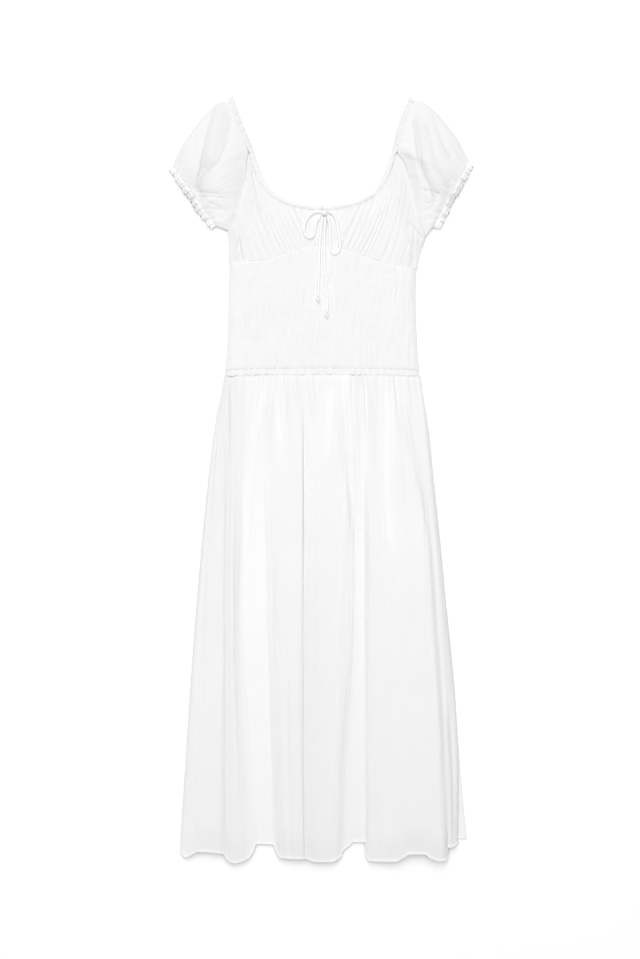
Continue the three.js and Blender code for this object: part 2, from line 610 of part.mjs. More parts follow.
// Sleeves: tubes laid flat, with a puffed upper layer and a flat lower one, and open at the neck
// and raglan seam and at the cuff. A place in a sleeve has a share round from its folded outer
// edge to the underarm, and a share along from the neck and raglan seam to the cuff.
const puffShare = through(column(PUFF, "along"), column(PUFF, "share"));
function makeSleeve(side, sign, place) {
  const at = (row) => point(sign * row[side], row[`${side}Drop`], 0);
  const seamSide = new THREE.Vector3(sign * SEAM * 1.5, 0, 0);
  const neckPart = [0.3, 0.55, 0.8].map((t) => place(t * cornerShare, NECK_FRILL + SEAM));
  const seamPart = [place(cornerShare, NECK_CASING + SEAM), ...RAGLAN.map(at)];
  const root = [at(SLEEVE_OUTER[0]), ...neckPart, ...seamPart.map((p) => p.add(seamSide))];
  const fold = SLEEVE_OUTER.map(at);
  const cuff = [fold.at(-1), at(CUFF_LOWER)];
  const underarm = [root.at(-1), at(CUFF_LOWER)];
  const edges = [root, cuff, fold, underarm].map((places) => (share) => along(places, share));
  const spot = (round, down) => patch(...edges, round, down);
  const creases = SLEEVE_CREASES.filter((row) => row.side === side).map((row) => {
    const from = point(sign * row.from, row.fromDrop, 0);
    const to = point(sign * row.to, row.toDrop, 0);
    return { line: new THREE.Line3(from, to), depth: row.depth, width: row.width };
  });
  const nearest = new THREE.Vector3();
  const height = (round, down) => {
    const dome = sin(PI * round) ** SLEEVE_ROUND;
    const drawn = 2 - smooth((1 - down) / SLEEVE_CUFF_RUN) - smooth(down / SLEEVE_ROOT_RUN);
    const gather = SLEEVE_GATHER_DEPTH * drawn * cos(2 * PI * SLEEVE_GATHERS * round);
    const flat = spot(round, down);
    const creased = creases.reduce((sum, crease) => {
      const away = flat.distanceTo(crease.line.closestPointToPoint(flat, true, nearest));
      return sum + crease.depth * Math.exp(-((away / crease.width) ** 2));
    }, 0);
    const open = smooth(down / CREASE_ROOT_RUN) * smooth((1 - down) / CREASE_CUFF_RUN);
    const puff = SLEEVE_PUFF * puffShare(down) + gather - creased * open;
    return SLEEVE_EDGE + dome * puff;
  };
  const corners = lengthShares(root).toReversed();
  const ring = (down, inset, thickness) => {
    const inside = (round) => lerp(inset, 1 - inset, round);
    const upper = steps(FRILL_STRETCHES * SLEEVE_GATHERS).map(inside).map((round) => {
      return raised(spot(round, down), height(round, down) - thickness);
    });
    const lower = corners.map(inside).map((round) => raised(spot(round, down), thickness));
    return [...upper, ...lower];
  };
  const rings = steps(SLEEVE_ROWS);
  const outer = rings.map((down) => ring(down, 0, 0));
  const inner = rings.map((down) => ring(down, SLEEVE_INSET, WALL));
  add(`sleeve_${side}`, sleeveWall(outer, inner));

  // Cuff frill, a ruffled ring past the elastic
  const across = cuff[1].clone().sub(cuff[0]).normalize();
  const outward = new THREE.Vector3(-across.y, across.x, 0).multiplyScalar(sign);
  const frillRing = (v, inset, thickness) => {
    const inside = (round) => lerp(inset, 1 - inset, round);
    const out = lerp(SEAM, CUFF_FRILL, v);
    const base = (round) => along(cuff, round).addScaledVector(outward, out);
    const upper = steps(FRILL_STRETCHES * CUFF_WAVES).map(inside).map((round) => {
      const wave = cos(2 * PI * CUFF_WAVES * round);
      const dome = sin(PI * round) ** SLEEVE_ROUND;
      const drawn = lerp(SLEEVE_PUFF * PUFF.at(-1).share, CUFF_LIFT * FRILL_DEPTH, v);
      return raised(base(round), SLEEVE_EDGE + dome * (drawn + FRILL_DEPTH * wave * v) - thickness);
    });
    const lower = steps(LOWER_STEPS).map(inside).toReversed().map((round) => {
      return raised(base(round), thickness);
    });
    return [...upper, ...lower];
  };
  const frillOuter = [0, 1].map((v) => frillRing(v, 0, 0));
  const frillInner = [0, 1].map((v) => frillRing(v, SLEEVE_INSET, WALL));
  add(`cuff_frill_${side}`, sleeveWall(frillOuter, frillInner));
}
makeSleeve("left", -1, neckPlace);
makeSleeve("right", 1, mirrored);

// Drawstring: a bow tied over the slit, with two tails that end in knots
function cord(route) {
  const path = new THREE.CatmullRomCurve3(route.map((place) => point(...place, TIE_HEIGHT)));
  const section = new THREE.Shape(steps(CORD_SIDES).slice(1).map((t) => {
    return new THREE.Vector2(cos(2 * PI * t), sin(2 * PI * t)).multiplyScalar(TIE_DIAMETER / 2);
  }));
  const count = Math.round(path.getLength() / (2 * TIE_DIAMETER));
  return new THREE.ExtrudeGeometry(section, { steps: count, extrudePath: path, bevelEnabled: false });
}
function knot({ across, drop, height, radii }) {
  const ball = new THREE.SphereGeometry(1, 10, 8);
  ball.deleteAttribute("uv");
  ball.scale(...radii);
  const centre = point(across, drop, height);
  return ball.translate(centre.x, centre.y, centre.z);
}
add("tie_knot", knot(TIE_KNOT), CORD);
TIE_ROUTES.forEach(({ name, route }) => add(name, cord(route), CORD));
TIE_ENDS.forEach((end) => add(end.name, knot(end), CORD));

export default dress;
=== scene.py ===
import bpy
import numpy as np
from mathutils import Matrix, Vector


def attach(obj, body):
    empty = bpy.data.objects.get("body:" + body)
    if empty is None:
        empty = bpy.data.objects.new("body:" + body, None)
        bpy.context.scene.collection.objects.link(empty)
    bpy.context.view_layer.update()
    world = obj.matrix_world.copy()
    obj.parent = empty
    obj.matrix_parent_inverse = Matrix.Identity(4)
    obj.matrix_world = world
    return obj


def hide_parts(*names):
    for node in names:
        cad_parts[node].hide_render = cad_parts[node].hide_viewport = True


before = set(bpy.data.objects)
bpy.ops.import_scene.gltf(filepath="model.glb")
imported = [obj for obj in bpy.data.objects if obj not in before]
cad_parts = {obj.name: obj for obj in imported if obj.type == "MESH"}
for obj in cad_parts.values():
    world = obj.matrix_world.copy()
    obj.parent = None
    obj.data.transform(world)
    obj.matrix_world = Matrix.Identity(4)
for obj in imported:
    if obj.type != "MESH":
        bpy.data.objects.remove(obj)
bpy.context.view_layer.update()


# Bust panel. One piece of white crinkled cotton gauze, gathered into the string's casing at the
# neck and into the underbust seam, sewn to the sleeves along the raglan seams, and slit at the
# centre of the neck. Sizes are in millimetres: across from the centre line, down from the shoulders.
LENGTH = 1225
WALL = 1.2
SEAM = 0.3
REST = WALL + SEAM
BODICE_LOFT = 4
LOFT_RUN = 30
NECK_CASING = 8
NECK_CORNER = 86
NECK_CENTRE = 174
UNDERBUST_SIDE = 270
RAGLAN_LOFT = 4.5
BUST_LEAN = 0.48
BUST_DEPTH = 2.3
BUST_PITCH = 9.2
LATTICE = 211
BUST_CREASES = [  # depth, width, then the line across and down
    (1.8, 2.6, [[-131, 232], [-136, 247], [-142, 264]]),
    (1.5, 2.4, [[-131, 238], [-128, 262]]),
    (1.8, 3, [[140, 205], [150, 217], [161, 228]]),
    (1.5, 2.6, [[139, 232], [146, 250], [148, 268]]),
]
SLIT_CENTRE = 3
SLIT = np.array([  # drop, half its width
    [184, 0.7], [192, 2.6], [205, 1.9], [216, 1], [224, 0.2],
])
NECK = np.array([  # drop, left, right
    [0, 142, 141], [42, 127, 124.5], [86, 109, 113], [130, 94, 97],
    [148, 81, 85], [159, 66, 70], [167, 48, 50], [172, 24, 26],
])
RAGLAN_LEFT = np.array([  # across, drop
    [-119, 106], [-120.5, 132], [-124.5, 158], [-132, 184], [-149, 215],
])
RAGLAN_RIGHT = np.array([[131, 104], [138.5, 130], [143.5, 161], [150, 192], [165, 225]])
SIDES = np.array([  # drop, left, right
    [215, 149, 167], [240, 148, 160.5], [260, 147, 154.5], [280, 147, 150.5],
    [309, 148, 150], [357, 149, 151], [405, 151, 153], [440, 154, 156],
])
UNDERBUST = np.array([  # across, drop
    [-150, 265], [-95, 262], [-76, 257], [-41, 245], [2, 238], [41, 245], [76, 258], [95, 264],
    [152, 277],
])


def smooth(t):
    """Rises from 0 to 1 with t, level at both ends: three times t's square, less twice its cube."""
    t = np.clip(t, 0, 1)
    return t * t * (3 - 2 * t)


def bell(t):
    """A bell curve, 1 at zero: e to the power of minus t's square."""
    return np.exp(-(t ** 2))


def blend(first, second, t):
    """The first at t = 0 and the second at t = 1, in proportion between them."""
    return first + (second - first) * t


def through(keys, values, at):
    """A cubic curve through a table's rows that doesn't overshoot them: its slope at a row is the
    harmonic mean of those on either side, or level where one rises and the other falls."""
    values = np.asarray(values, float)
    table = values.reshape(len(keys), -1)
    span = np.diff(keys)[:, None]
    slope = np.diff(table, axis=0) / span
    before, after = np.vstack([slope[:1], slope]), np.vstack([slope, slope[-1:]])
    agree = before * after > 0
    tangent = np.where(agree, 2 * before * after / np.where(agree, before + after, 1), 0)
    at = np.clip(at, keys[0], keys[-1])
    i = np.clip(np.searchsorted(keys, at, side="right") - 1, 0, len(keys) - 2)
    t = ((at - np.asarray(keys)[i]) / span[i, 0])[..., None]
    bend = (tangent[i] * (1 - t) - tangent[i + 1] * t) * span[i] * t * (1 - t)
    curve = blend(table[i], table[i + 1], smooth(t)) + bend
    return curve if values.ndim > 1 else curve[..., 0]


def curve_through(points, stretches=48):
    """A smooth line through points: between two of them a cubic, whose slopes at its ends come
    from the neighbouring points, weighted by the square roots of the distances."""
    points = np.asarray(points, float)
    ends = np.vstack([2 * points[0] - points[1], points, 2 * points[-1] - points[-2]])
    gap = np.sqrt(np.linalg.norm(np.diff(ends, axis=0), axis=1))[:, None]
    a, b, c, d = ends[:-3], ends[1:-2], ends[2:-1], ends[3:]
    here = (c - b) / gap[1:-1]
    leave = gap[1:-1] * ((b - a) / gap[:-2] - (c - a) / (gap[:-2] + gap[1:-1]) + here)
    reach = gap[1:-1] * (here - (d - b) / (gap[1:-1] + gap[2:]) + (d - c) / gap[2:])
    t = np.linspace(0, 1, stretches, endpoint=False)[None, :, None]
    b, c, leave, reach = (part[:, None] for part in (b, c, leave, reach))
    line = blend(b, c, smooth(t)) + (leave * (1 - t) - reach * t) * t * (1 - t)
    return np.vstack([line.reshape(-1, points.shape[1]), points[-1:]])


def distances(line):
    """The distance along a line to each of its points."""
    return np.concatenate([[0], np.cumsum(np.linalg.norm(np.diff(line, axis=0), axis=1))])


def length_shares(line):
    """The shares of a line's length at which its points are."""
    reach = distances(line)
    return reach / reach[-1]


def along(line, share, values=None):
    """The places at shares of a line's length, or the values there that go with its points."""
    values = line if values is None else values
    at = length_shares(line)
    return np.stack([np.interp(share, at, part) for part in values.T], axis=-1)


def unit(vectors):
    """Vectors that point the same way, one long."""
    return vectors / np.linalg.norm(vectors, axis=-1)[..., None]


def patch(top, bottom, left, right, u, v):
    """Places between four edges: each pair of opposite edges is blended across the piece, and the
    blend of the four corners is taken off once. Rows follow v and columns follow u."""
    u, v = u[None, :, None], v[:, None, None]
    corners = blend(blend(left[0], right[0], u), blend(left[-1], right[-1], u), v)
    return blend(top[None], bottom[None], v) + blend(left[:, None], right[:, None], u) - corners


def uneven(across, down, seed):
    """Smooth random relief from -1 to 1: a random height at each whole-numbered corner, blended
    over the four corners round a place."""
    heights = np.random.default_rng(seed).uniform(-1, 1, (LATTICE, LATTICE))
    i, j = np.floor(across).astype(int), np.floor(down).astype(int)
    s, t = smooth(across - i), smooth(down - j)
    i, j, next_i, next_j = i % LATTICE, j % LATTICE, (i + 1) % LATTICE, (j + 1) % LATTICE
    near = blend(heights[i, j], heights[next_i, j], s)
    far = blend(heights[i, next_j], heights[next_i, next_j], s)
    return blend(near, far, t)


def crest(phase):
    """A wave from 0 to 1 that is highest where its phase is a whole number."""
    return 0.5 + 0.5 * np.cos(2 * np.pi * phase)


def cut_places(across, down):
    """Places in the cut cloth, in millimetres across its ridges and along them."""
    return np.stack(np.broadcast_arrays(across, down), -1)


def crinkle(grain, seed):
    """Relief of crinkled gauze in millimetres: ridges 5 and 2.6 mm apart that run along the grain,
    wander sideways by a few millimetres and die out after a hand's breadth."""
    across, down = np.moveaxis(grain, -1, 0)
    wander = across + 7 * uneven(across / 45, down / 160, seed)
    broad = uneven(wander / 5, down / 80, seed + 1)
    return 0.3 * broad + 0.16 * uneven(wander / 2.6, down / 45, seed + 2)


def from_line(places, line):
    """Each place's distance from a line of straight stretches, below zero on its right-hand side."""
    line = np.asarray(line, float)
    run = np.diff(line, axis=0)
    offset = places[..., None, :] - line[:-1]
    t = np.clip((offset * run).sum(-1) / (run * run).sum(-1), 0, 1)
    away = np.linalg.norm(offset - t[..., None] * run, axis=-1)
    hand = np.sign(run[:, 0] * offset[..., 1] - run[:, 1] * offset[..., 0])
    nearest = away.argmin(-1)[..., None]
    return np.take_along_axis(np.where(hand == 0, 1, hand) * away, nearest, -1)[..., 0]


def upright(line):
    """A table of places across and down, as places across and up."""
    line = np.asarray(line, float)
    return np.column_stack([line[:, 0], LENGTH / 2 - line[:, 1]])


def neck_place(share, inset):
    """Places at shares of the neck edge's length, moved square into the cloth."""
    square = unit(np.gradient(neck_line, axis=0) @ np.array([[0, -1], [1, 0]]))
    return along(neck_line, share) + along(neck_line, share, square) * inset


def look_up(table, at, column=1):
    """A column of a table at places in its first column, on the smooth curve through its rows."""
    return through(table[:, 0], table[:, column], at)


def side(drop, column):
    """How far the side edge of the bodice is from the centre line at a drop."""
    return look_up(SIDES, drop, column)


def bodice_height(across, drop):
    """Height of the front bodice's face: it lies on the back at its side edges, rounds up steeply
    there and stands off the back by the loft further in."""
    edge = np.minimum(across + side(drop, 1), side(drop, 2) - across)
    low = 1 - np.clip(edge / LOFT_RUN, 0, 1)
    return REST + WALL + BODICE_LOFT * (1 - low ** 3) - 0.8 * np.exp(-np.clip(edge, 0, None) / 1.5)


def bust_gathers(across, drop):
    """Gathers of the bust from 0 to 1: ridges about 9 mm apart, each of its own height, on lines
    that lean in to the centre going down, except close to the centre and to the sides."""
    out = np.abs(across - SLIT_CENTRE)
    lean = BUST_LEAN * smooth((out - 10) / 30) * (1 - smooth((out - 60) / 110))
    line = np.sign(across - SLIT_CENTRE) * 300 + out + lean * (drop - 205)
    phase = line / BUST_PITCH + 0.55 * uneven(line / 21, drop / 110, 11)
    ridge = crest(phase) * (0.62 + 0.38 * uneven(phase * 0.73, drop / 70, 12))
    fine = uneven(line / 2.6, drop / 60, 14)
    return (0.8 * ridge + 0.2 * fine) * blend(0.35, 1, smooth((out - 8) / 30))


def linear(colour):
    """A hex sRGB colour as linear light: each channel to the power 2.4 above its straight foot."""
    parts = np.array([int(colour[i:i + 2], 16) for i in (1, 3, 5)]) / 255
    light = np.where(parts > 0.04045, ((parts + 0.055) / 1.055) ** 2.4, parts / 12.92)
    return (*light.tolist(), 1.0)


def add_node(tree, kind, inputs, **settings):
    """Adds a node with its settings. An input is a number, a colour or the output linked to it."""
    made = tree.nodes.new(kind)
    for name, value in settings.items():
        setattr(made, name, value)
    for name, value in inputs.items():
        if isinstance(value, bpy.types.NodeSocket):
            tree.links.new(value, made.inputs[name])
        else:
            made.inputs[name].default_value = value
    return made


def quads(grid):
    """The faces between the rows and columns of a grid."""
    corners = grid[:-1, :-1], grid[1:, :-1], grid[1:, 1:], grid[:-1, 1:]
    return np.stack(corners, -1).reshape(-1, 4)


def sew(name, face, lining, grain, lift=0.5, ring=False):
    """A closed shell of gauze: a grid of places on its face, a coarser one on its wrong side whose
    rows and columns fall on some of the face's, and a rim round both. The grain is the places in
    the cut cloth and becomes the UV map in metres. The painted shade greys the cloth's colour: it is
    0 where the cloth lies on another layer and 1 or more where it stands off it. The last column of
    a ring joins its first."""
    rows, columns = face.shape[:2]
    up = np.arange(rows * columns).reshape(rows, columns)
    under = up.size + np.arange(lining[..., 0].size).reshape(lining.shape[:2])
    skips = (rows - 1) // (lining.shape[0] - 1), round(columns / lining.shape[1])
    if ring:
        up, under = (np.hstack([grid, grid[:, :1]]) for grid in (up, under))

    def rim(fine, coarse):
        step = (len(fine) - 1) // (len(coarse) - 1)
        runs = fine[step * np.arange(len(coarse) - 1)[:, None] + np.arange(step + 1)]
        return np.hstack([runs, coarse[1:, None], coarse[:-1, None]])

    blocks = [quads(up), quads(under)[:, ::-1], rim(up[0], under[0])]
    blocks.append(rim(up[-1, ::-1], under[-1, ::-1]))
    if not ring:
        blocks.append(rim(up[::-1, 0], under[::-1, 0]))
        blocks.append(rim(up[:, -1], under[:, -1]))
    places = np.vstack([face.reshape(-1, 3), lining.reshape(-1, 3)]) / 1000
    cut = np.vstack([grain.reshape(-1, 2), grain[::skips[0], ::skips[1]].reshape(-1, 2)]) / 1000
    painted_shades = np.broadcast_to(lift, face.shape[:2])
    painted_shades = np.concatenate([painted_shades.ravel(), painted_shades[::skips[0], ::skips[1]].ravel()])
    return make_piece(name, places, blocks, cut, painted_shades, gauze)


def make_piece(name, places, blocks, cut, painted_shades, cloth):
    """A mesh object from its places, its faces in blocks of a like number of corners, the UV and
    the painted shade of each place, and its material, with its faces turned outwards."""
    mesh = bpy.data.meshes.new(name)
    corners = np.concatenate([block.ravel() for block in blocks])
    sizes = np.concatenate([np.full(len(block), block.shape[1]) for block in blocks])
    mesh.vertices.add(len(places))
    mesh.vertices.foreach_set("co", places.ravel())
    mesh.loops.add(len(corners))
    mesh.loops.foreach_set("vertex_index", corners)
    mesh.polygons.add(len(sizes))
    mesh.polygons.foreach_set("loop_start", np.cumsum(sizes) - sizes)
    mesh.update(calc_edges=True)
    mesh.calc_loop_triangles()
    triangles = np.empty(3 * len(mesh.loop_triangles), int)
    mesh.loop_triangles.foreach_get("vertices", triangles)
    a, b, c = places[triangles.reshape(-1, 3)].transpose(1, 0, 2)
    if np.sum(a * np.cross(b, c)) < 0:
        mesh.flip_normals()
    mesh.loops.foreach_get("vertex_index", corners)
    mesh.uv_layers.new(name="grain").data.foreach_set("uv", cut[corners].ravel())
    mesh.attributes.new("lift", "FLOAT", "POINT").data.foreach_set("value", painted_shades)
    mesh.polygons.foreach_set("use_smooth", np.ones(len(sizes), bool))
    mesh.materials.append(cloth)
    piece = bpy.data.objects.new(name, mesh)
    bpy.context.collection.objects.link(piece)
    return piece


# Cotton gauze, plain woven and crinkled: matt white, with a faint sheen from its loose fibres. Its
# thread is 0.6 mm apart, too fine to show, and is drawn 1.2 mm apart. Small creases 2 mm wide and
# 40 mm long run along the grain between the ridges of the mesh. Its colour carries painted shade:
# each place's painted shade greys it from white, most where the cloth stands off the layer below,
# and faint random clouds of tone are added.
THREAD_PITCH = 0.0012
gauze = bpy.data.materials.new("crinkled_cotton_gauze")
gauze.use_nodes = True
tree = gauze.node_tree
tree.nodes.clear()
grain_uv = add_node(tree, "ShaderNodeUVMap", {}, uv_map="grain").outputs["UV"]
creases = add_node(tree, "ShaderNodeMapping", {"Vector": grain_uv, "Scale": (500, 25, 1)})
crease = add_node(tree, "ShaderNodeTexNoise", {
    "Vector": creases.outputs["Vector"], "Scale": 1, "Detail": 3, "Roughness": 0.55,
}, noise_dimensions="2D").outputs["Fac"]
threads, picks = (
    add_node(tree, "ShaderNodeTexWave", {
        "Vector": grain_uv, "Scale": 1 / THREAD_PITCH / 3.14, "Distortion": 1.5, "Detail": 1,
    }, bands_direction=way).outputs["Fac"]
    for way in ("X", "Y")
)
weave = add_node(tree, "ShaderNodeMath", {0: threads, 1: picks}, operation="MULTIPLY").outputs[0]
creased = add_node(tree, "ShaderNodeBump", {"Height": crease, "Strength": 0.5, "Distance": 0.0006})
woven = add_node(tree, "ShaderNodeBump", {
    "Height": weave, "Strength": 0.25, "Distance": 0.0003, "Normal": creased.outputs["Normal"],
})
cloud = add_node(tree, "ShaderNodeTexNoise", {
    "Vector": grain_uv, "Scale": 18, "Detail": 4,
}, noise_dimensions="2D").outputs["Fac"]
# Painted shade: this per-place value greys the cloth's colour from #f0f0f0 towards #e8e8e8, and the
# random clouds of tone are added to it.
lift = add_node(tree, "ShaderNodeAttribute", {}, attribute_name="lift").outputs["Fac"]
cloud_tone = add_node(tree, "ShaderNodeMapRange", {
    "Value": cloud, "From Min": 0.3, "From Max": 0.7, "To Min": -0.08, "To Max": 0.08,
}).outputs["Result"]
painted_shade_and_clouds = add_node(tree, "ShaderNodeMath", {0: lift, 1: cloud_tone}, operation="ADD").outputs[0]
white = add_node(tree, "ShaderNodeMix", {
    "Factor": painted_shade_and_clouds, "A": linear("#f0f0f0"), "B": linear("#e8e8e8"),
}, data_type="RGBA", clamp_factor=False).outputs[2]
rough = add_node(tree, "ShaderNodeMapRange", {"Value": weave, "To Min": 0.82, "To Max": 0.95})
shader = add_node(tree, "ShaderNodeBsdfPrincipled", {
    "Base Color": white, "Roughness": rough.outputs["Result"], "IOR": 1.45,
    "Specular IOR Level": 0.25, "Sheen Weight": 0.12, "Sheen Roughness": 0.5,
    "Normal": woven.outputs["Normal"],
})
add_node(tree, "ShaderNodeOutputMaterial", {"Surface": shader.outputs["BSDF"]})

# Sewing thread, of the same white cotton.
THREAD_RADIUS = 0.24
thread = gauze.copy()
thread.name = "cotton_thread"


def stitch(name, lines, pitch=3.2):
    """Rows of stitches along lines on the cloth, in one piece: a short six-sided thread over two
    thirds of every pitch, which comes up out of the cloth, lies on it and goes back in."""
    shape = np.linspace(0, 1, 5)
    turn = np.linspace(0, 2 * np.pi, 6, endpoint=False)
    threads = []
    for line in lines:
        reach = distances(line)
        starts = np.arange(0.5, reach[-1] / pitch - 1) * pitch
        at = starts[:, None] + 0.66 * pitch * shape
        centre = np.stack([np.interp(at, reach, part) for part in line.T], -1)
        run = unit(centre[:, -1] - centre[:, 0])
        sideways = np.cross([0, 0, 1], run)
        upward = np.cross(run, sideways)
        centre = centre + (0.5 * np.sin(np.pi * shape) - 0.3)[:, None] * upward[:, None]
        ring = np.cos(turn)[:, None] * sideways[:, None] + np.sin(turn)[:, None] * upward[:, None]
        threads.append(centre[:, :, None] + THREAD_RADIUS * ring[:, None])
    places = np.vstack(threads)
    grid = np.arange(places[..., 0].size).reshape(places.shape[:3])
    ahead = np.roll(grid, -1, axis=2)
    sides = np.stack([grid[:, :-1], grid[:, 1:], ahead[:, 1:], ahead[:, :-1]], -1).reshape(-1, 4)
    ends = np.vstack([grid[:, 0, ::-1], grid[:, -1]])
    places = places.reshape(-1, 3) / 1000
    piece = make_piece(name, places, [sides, ends], places[:, :2], np.zeros(len(places)), thread)
    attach(piece, "root")


neck_line = curve_through(upright(np.vstack([
    NECK[:, [1, 0]] * [-1, 1], [0, NECK_CENTRE], NECK[::-1, [2, 0]],
])))
neck_length = distances(neck_line)[-1]
shares = np.linspace(0, 1, 1001)
corner_share = shares[np.argmax(along(neck_line, shares)[:, 1] < LENGTH / 2 - NECK_CORNER)]

u, v = np.linspace(0, 1, 481), np.linspace(0, 1, 97)
neck_edge = neck_place(blend(corner_share, 1 - corner_share, u), NECK_CASING + SEAM)
lips = [upright(np.column_stack([SLIT_CENTRE + hand * SLIT[:, 1], SLIT[:, 0]])) for hand in (-1, 1)]
bust_top = np.vstack([
    along(neck_edge[neck_edge[:, 0] < lips[0][0, 0]], np.linspace(0, 1, 200)),
    along(curve_through(lips[0]), np.linspace(0, 1, 41)[:-1]),
    along(curve_through(lips[1])[::-1], np.linspace(0, 1, 41)),
    along(neck_edge[neck_edge[:, 0] > lips[1][0, 0]], np.linspace(0, 1, 200)),
])
bust_edges = []
for start, raglan, sign, column in (
    (bust_top[0], RAGLAN_LEFT, -1, 1),
    (bust_top[-1], RAGLAN_RIGHT, 1, 2),
):
    reach = sign * side(UNDERBUST_SIDE, column)
    corner = look_up(UNDERBUST, reach) - SEAM
    middle = (raglan[-1, 1] + corner) / 2
    lower = np.array([*raglan, [sign * side(middle, column), middle], [reach, corner]])
    bust_edges.append(np.vstack([start, upright(lower)]))
bust_rows = sum(length_shares(edge) for edge in bust_edges) / 2
bust_left, bust_right = (through(bust_rows, edge, v) for edge in bust_edges)
bottom_places = [bust_left[-1, 0], -12, SLIT_CENTRE, 18, bust_right[-1, 0]]
across = np.interp(u, [0, 0.42, 0.5, 0.58, 1], bottom_places)
bust_bottom = np.column_stack([across, LENGTH / 2 - look_up(UNDERBUST, across) + SEAM])
bust = patch(bust_top, bust_bottom, bust_left, bust_right, u, v)
edge = np.minimum(u, 1 - u)
seam_loft = RAGLAN_LOFT * (1 - smooth((v - 0.65) / 0.2))[:, None]
inner = 1 - (1 - np.clip(edge / 0.18, 0, 1)) ** 3
loft = blend(seam_loft, BODICE_LOFT, inner) * blend(0.5, 1, smooth(v / 0.3))[:, None]
gather = bust_gathers(bust[..., 0], LENGTH / 2 - bust[..., 1]) * smooth(edge / 0.04)
seam = smooth((v - 0.86) / 0.14)[:, None]
bust_height = REST + WALL + loft + BUST_DEPTH * gather * (1 - 0.7 * seam) - 0.1 * seam
for depth, width, line in BUST_CREASES:
    near = bell(from_line(bust, upright(line)) / width) * smooth(edge / 0.03)
    bust_height -= depth * near
under_sleeve = (1 - smooth(edge / 0.008)) * (1 - smooth((v - 0.55) / 0.1))[:, None]
bust[..., 0] += np.sign(u - 0.5) * 1.4 * under_sleeve
bust_height -= 0.6 * under_sleeve
bust_grain = cut_places(u * 420, v[:, None] * 130)
bust_face = np.dstack([bust, bust_height + crinkle(bust_grain, 13)])
bust_lining = np.dstack([bust, bust_height - WALL])[::6, ::6]
# Painted shade: the bust's colour is painted greyer towards its raglan and side edges, by up to half
# a step.
bust_painted_shade = 0.8 + 0.5 * (1 - smooth(edge / 0.16))
front_bust = sew("front_bust_gauze", bust_face, bust_lining, bust_grain, bust_painted_shade)

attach(front_bust, "root")
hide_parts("front_bust")
stitch("underbust_stitches", [bust_face[-5]])


# Back bodice. One plain piece of the same gauze from neck to waist, flat on the surface under the
# front. Its crinkle shows on both sides, and its underside stays on the surface.
WAIST = 434
BACK_NECK = 3


def flat_heights(relief):
    """Heights of a flat layer's upper side and of its underside, which stays on the surface."""
    return WALL - 0.25 + 0.5 * relief, np.clip(relief + 0.1, 0, None)


u, v = np.linspace(0, 1, 361), np.linspace(0, 1, 145)
back_drops = np.minimum(SIDES[3:, 0], WAIST)
back_top = neck_place(blend(corner_share, 1 - corner_share, u), BACK_NECK)
back_edges = []
for end, sign, column in ((0, -1, 1), (-1, 1, 2)):
    sides = np.column_stack([sign * side(back_drops, column), LENGTH / 2 - back_drops])
    back_edges.append(np.vstack([back_top[end], bust_edges[end][:-1], sides]))
back_rows = length_shares(back_edges[0])
back_left, back_right = (through(back_rows, edge, v) for edge in back_edges)
back_bottom = blend(back_left[-1], back_right[-1], u[:, None])
back = patch(back_top, back_bottom, back_left, back_right, u, v)
back_grain = cut_places(u * 330, v[:, None] * 300)
upper, under = flat_heights(crinkle(back_grain, 21))
# Painted shade: the back bodice's colour takes sew's middle painted shade, 0.5.
back_bodice = sew(
    "back_bodice_gauze", np.dstack([back, upper]), np.dstack([back, under])[::2, ::2], back_grain,
)
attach(back_bodice, "root")
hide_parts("back_bodice")


# Midriff. One piece of gauze drawn up by eleven rows of elastic thread, 14 mm apart, into fine
# puckers that run up and down from row to row, sewn to the bust above and the skirt below.
SHIRRING_ROWS = 11
SHIRRING_DEPTH = 2
WAIST_SAG = 3
WAIST_HALF = 155


def waist_seam(across):
    """Drop of the waist seam, which sags to the sides with the square of the distance."""
    return WAIST + WAIST_SAG * (across / WAIST_HALF) ** 2


u, v = np.linspace(0, 1, 541), np.linspace(0, 1, 133)[:, None]
level = blend(UNDERBUST_SIDE, WAIST, v)
across = blend(-side(level, 1), side(level, 2), u)
top = look_up(UNDERBUST, blend(-side(UNDERBUST_SIDE, 1), side(UNDERBUST_SIDE, 2), u)) + SEAM / 2
bottom = waist_seam(blend(-side(WAIST, 1), side(WAIST, 2), u)) - SEAM / 2
drop = blend(top, bottom, v)
height = bodice_height(across, drop)
row = SHIRRING_ROWS * v
between = np.sqrt(np.abs(np.sin(np.pi * row)))
wander = 78 * u + 0.7 * uneven(u * 26, row * 0.8, 31)
pucker = 0.5 + 0.5 * uneven(wander, row * 0.7, 32)
small = 0.5 + 0.5 * uneven(wander * 1.9, row * 0.9, 33)
edge = smooth(np.minimum(u, 1 - u) * 30)
puff = (0.1 + 0.75 * pucker + 0.15 * small) * blend(0.84, 1, between)
tuck = np.maximum(1 - smooth(v / 0.022), smooth((v - 0.978) / 0.022))
drop = drop + blend(-1, 1, v) * tuck
height = height - 0.3 * tuck
puckers = SHIRRING_DEPTH * puff * edge * (1 - 0.75 * tuck)
midriff_face = np.dstack([across, LENGTH / 2 - drop, height + puckers])
midriff_lining = np.dstack([across, LENGTH / 2 - drop, height - WALL])[::6, ::6]
midriff_grain = cut_places(u * 600, v * 175)
# Painted shade: the midriff's colour is painted at 0.68.
front_midriff = sew("front_midriff_gauze", midriff_face, midriff_lining, midriff_grain, 0.68)
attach(front_midriff, "root")
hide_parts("front_midriff")
stitch("shirring_stitches", midriff_face[12:-1:12])


